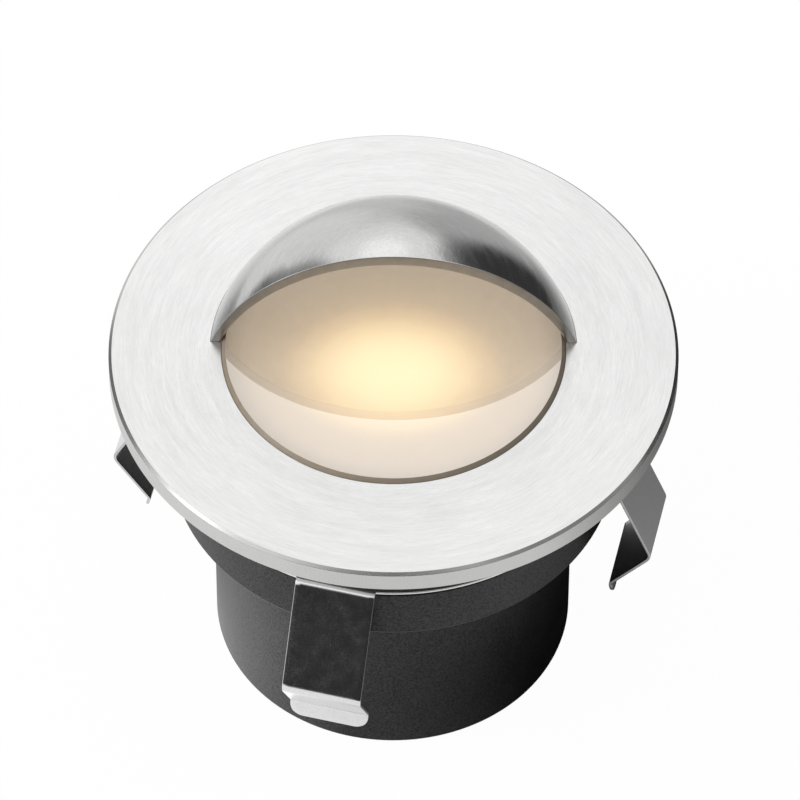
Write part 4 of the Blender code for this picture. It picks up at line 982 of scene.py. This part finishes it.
# Cards in the tent: direction, inner and outer angle in degrees, brightness
CARDS = (
    ((-0.07, 0.765, 0.643), 4, 14, 1.32),
    ((-0.47, 0.88, 0.0), 14, 28, 0.88),
    ((0.37, 0.92, 0.05), 10, 24, 0.50),
    ((0.317, 0.871, -0.375), 8, 20, 0.50),
    ((0.87, 0.42, -0.12), 28, 40, 0.04),
    ((0.62, 0.69, 0.37), 8, 26, 0.06),
    ((0.669, 0.743, 0.105), 12, 18, 0.045),
    ((-0.866, 0.5, 0.087), 17, 23, 0.18),
    ((-0.772, 0.446, 0.454), 18, 28, 0.22),
    ((0.0, -0.99, 0.12), 26, 44, 0.025),
    ((0.82, -0.45, 0.40), 20, 34, 0.28),
    ((-0.86, -0.25, 0.45), 6, 13, 2.4),
)


def ray_kinds(tree):
    """Whether a ray comes straight from the camera, and whether metal or glass sent it."""
    path = node(tree, "LightPath")
    mirrored = maths(tree, "MAXIMUM", path.outputs["Is Glossy Ray"], path.outputs["Is Transmission Ray"])
    return path.outputs["Is Camera Ray"], mirrored


def make_world():
    """White to the camera. Metal and glass mirror the tent, which also lights the rest softly."""
    world = bpy.data.worlds.new("studio")
    bpy.context.scene.world = world
    world.use_nodes = True
    tree = world.node_tree
    tree.nodes.clear()
    direction = node(tree, "TexCoord").outputs["Generated"]
    rise = node(tree, "SeparateXYZ", {0: direction}).outputs["Z"]
    level = ranged(tree, rise, 0.0, TENT_RISE, TENT_HORIZON, TENT_TOP, smooth=True)
    for centre, inner, outer, brightness in CARDS:
        towards = Vector(centre).normalized()
        near = vectors(tree, "DOT_PRODUCT", direction, towards).outputs["Value"]
        low, high = math.cos(math.radians(outer)), math.cos(math.radians(inner))
        amount = ranged(tree, near, low, high, 0.0, 1.0, smooth=True)
        level = blended(tree, amount, level, brightness)
    seen, mirrored = ray_kinds(tree)
    share = ranged(tree, mirrored, 0.0, 1.0, TENT_SOFT_SHARE, 1.0)
    strength = maths(tree, "MULTIPLY", level, share)
    tent = node(tree, "Background", {"Color": WHITE, "Strength": strength})
    backdrop = node(tree, "Background", {"Color": WHITE, "Strength": 1.0})
    mix = node(tree, "MixShader", {0: seen, 1: tent.outputs[0], 2: backdrop.outputs[0]})
    output = node(tree, "OutputWorld")
    tree.links.new(mix.outputs[0], output.inputs["Surface"])


# Floor: its size, its paint, and how white the camera sees it close to the light
FLOOR_RADIUS = 0.12
FLOOR_SIDES = 64
FLOOR_GAP = 0.00002
FLOOR_FADE = 0.055
FLOOR_COLOUR = (0.92, 0.92, 0.92)
FLOOR_WHITE_SHARE = 0.975

# Painted light and painted shadow that metal and glass see on the floor, by side: near the light, farther
# out and in its shadow
FLOOR_BRIGHT_SIDE = (-0.86, -0.51, 0.0)
FLOOR_NEAR_REACH = (0.036, 0.048)
FLOOR_NEAR_SIDE = (-0.35, 0.6, 0.03, 0.58)
FLOOR_NEAR_LIT_SIDE = (0.7, 1.0, 0.0, 0.8)
FLOOR_FAR_SIDE = (-1.0, -0.3, 0.165, 0.84)
FLOOR_FAR_LIT_SIDE = (0.7, 1.0, 0.0, 0.1)
FLOOR_SHADOW_PLACE = (0.026, 0.0, 0.0)
FLOOR_SHADOW = (0.008, 0.038, 0.09, 1.0)


def make_floor():
    """A plain white floor that keeps a faint shadow of the light. Metal and glass see painted light and a
    painted shadow on it instead.
    """
    bm = bmesh.new()
    bmesh.ops.create_circle(bm, cap_ends=True, segments=FLOOR_SIDES, radius=FLOOR_RADIUS)
    material = bpy.data.materials.new("floor_white")
    material.use_nodes = True
    tree = material.node_tree
    tree.nodes.clear()
    paint = node(tree, "BsdfDiffuse", {"Color": (*FLOOR_COLOUR, 1)})
    place = object_place(tree)
    outward = vectors(tree, "NORMALIZE", place).outputs[0]
    side = vectors(tree, "DOT_PRODUCT", outward, FLOOR_BRIGHT_SIDE).outputs["Value"]
    seen, mirrored = ray_kinds(tree)
    # A painted shadow at the can's right side, seen only by metal and glass
    shadow_reach = vectors(tree, "DISTANCE", place, FLOOR_SHADOW_PLACE).outputs["Value"]
    shadow = ranged(tree, shadow_reach, *FLOOR_SHADOW, smooth=True)
    away = vectors(tree, "LENGTH", place).outputs["Value"]
    near, far = [
        maths(tree, "ADD", ranged(tree, side, *wide), ranged(tree, side, *lit))
        for wide, lit in ((FLOOR_NEAR_SIDE, FLOOR_NEAR_LIT_SIDE), (FLOOR_FAR_SIDE, FLOOR_FAR_LIT_SIDE))
    ]
    outer = ranged(tree, away, *FLOOR_NEAR_REACH, 0.0, 1.0, smooth=True)
    level = blended(tree, outer, near, far)
    painted_light_level = maths(tree, "MULTIPLY", level, shadow)
    # Metal and glass see only this painted light and shadow, as emission
    strength = blended(tree, mirrored, 1.0, painted_light_level)
    white = node(tree, "Emission", {"Color": WHITE, "Strength": strength})
    faded = ranged(tree, away, FLOOR_FADE, FLOOR_RADIUS, FLOOR_WHITE_SHARE, 1.0, smooth=True)
    direct = maths(tree, "MULTIPLY", seen, faded)
    share = maths(tree, "MAXIMUM", direct, mirrored)
    mix = node(tree, "MixShader", {0: share, 1: paint.outputs[0], 2: white.outputs[0]})
    output = node(tree, "OutputMaterial")
    tree.links.new(mix.outputs[0], output.inputs["Surface"])
    floor = add_piece("floor", bm, [material])
    floor.location.z = HOUSING_LOW.z - FLOOR_GAP


# Soft lamps, which metal and glass don't mirror: name, place, size, power in watts
LAMPS = (
    ("key", (-0.75, -0.10, 0.60), 0.50, 6.0),
    ("fill", (0.05, -0.20, 1.05), 0.80, 2.6),
)


def make_lamps():
    for name, place, size, power in LAMPS:
        light = bpy.data.lights.new(name, "AREA")
        light.shape = "DISK"
        light.size = size
        light.energy = power
        lamp = linked(name, light)
        lamp.location = place
        lamp.visible_glossy = False
        aim = Vector((0, 0, RING_HIGH.z)) - lamp.location
        lamp.rotation_euler = aim.to_track_quat("-Z", "Y").to_euler()


def make_camera():
    """The photograph's own view, from the front and above, with its slight roll."""
    camera = linked("camera", bpy.data.cameras.new("camera"))
    camera.data.lens = CAMERA_LENS
    camera.data.sensor_width = CAMERA_SENSOR
    camera.data.clip_start = CAMERA_NEAR
    camera.location = CAMERA_PLACE
    ring_middle = Vector((0, 0, RING_HIGH.z))
    level = (ring_middle - CAMERA_PLACE).to_track_quat("-Z", "Y")
    rolled = level @ Quaternion((0, 0, 1), CAMERA_ROLL)
    aim = ring_middle + rolled @ Vector((AIM_RIGHT, AIM_UP, 0))
    turn = (aim - CAMERA_PLACE).to_track_quat("-Z", "Y") @ Quaternion((0, 0, 1), CAMERA_ROLL)
    camera.rotation_euler = turn.to_euler()
    bpy.context.scene.camera = camera


def dress(material, *names):
    """Give CAD nodes a better material in their own slots."""
    for name in names:
        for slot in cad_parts[name].material_slots:
            slot.material = material


def soften(width, *names):
    """Take the sharp edges off CAD nodes."""
    for name in names:
        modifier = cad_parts[name].modifiers.new("edges", "BEVEL")
        modifier.width = width
        modifier.segments = SMALL_PART_STEPS
        modifier.limit_method = "ANGLE"
        modifier.angle_limit = SMALL_PART_ANGLE


def make_outside():
    """The finer shells of the pieces that show."""
    ball, centre = ball_through(HOOD_HIGH.x, HOOD_HIGH.z - RING_HIGH.z)
    dome = (RING_HIGH.z + centre, ball)
    make_trim_ring(turned_metal("ring_steel"), rolled_steel("rim_steel"))
    lip = grained("hood_lip", Metallic=1.0)
    make_hood(turned_metal("hood_steel", dome), lip, grained("hood_inside", Metallic=1.0))
    make_lens(glass_top(), ground_glass(), painted_glow_glass())
    make_neck(grained("neck_plastic"))
    make_plate(rolled_steel("plate_steel"))
    strip = [rolled_steel("spring_steel"), grained("strip_edge", Metallic=1.0)]
    for name, turn, lean in CLIP_PLACES:
        make_clip(name, turn, lean, strip)
    make_housing([grained("housing_plastic", HOUSING_GLOSS), grained("housing_painted_highlight")])


def dress_inside():
    """The finishes of the pieces that keep the solids' own shapes."""
    for finish, names in DRESSED.items():
        dress(grained(finish), *names)
    phosphor = grained("led_phosphor", Emission_Color=LED_LIGHT, Emission_Strength=LED_STRENGTH)
    dress(phosphor, "led_1", "led_2", "led_3")
    dress(turned_metal("screw_steel"), *[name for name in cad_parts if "_screw_" in name])
    dress(turned_metal("sink_aluminium"), "heat_sink")
    soften(SMALL_PART_EDGE, "gland_cap", "gland_body", "gland_lock_nut", "terminal_block")


def main():
    make_outside()
    dress_inside()
    make_floor()
    make_world()
    make_lamps()
    make_camera()
    bpy.context.scene.view_settings.view_transform = "Standard"


main()
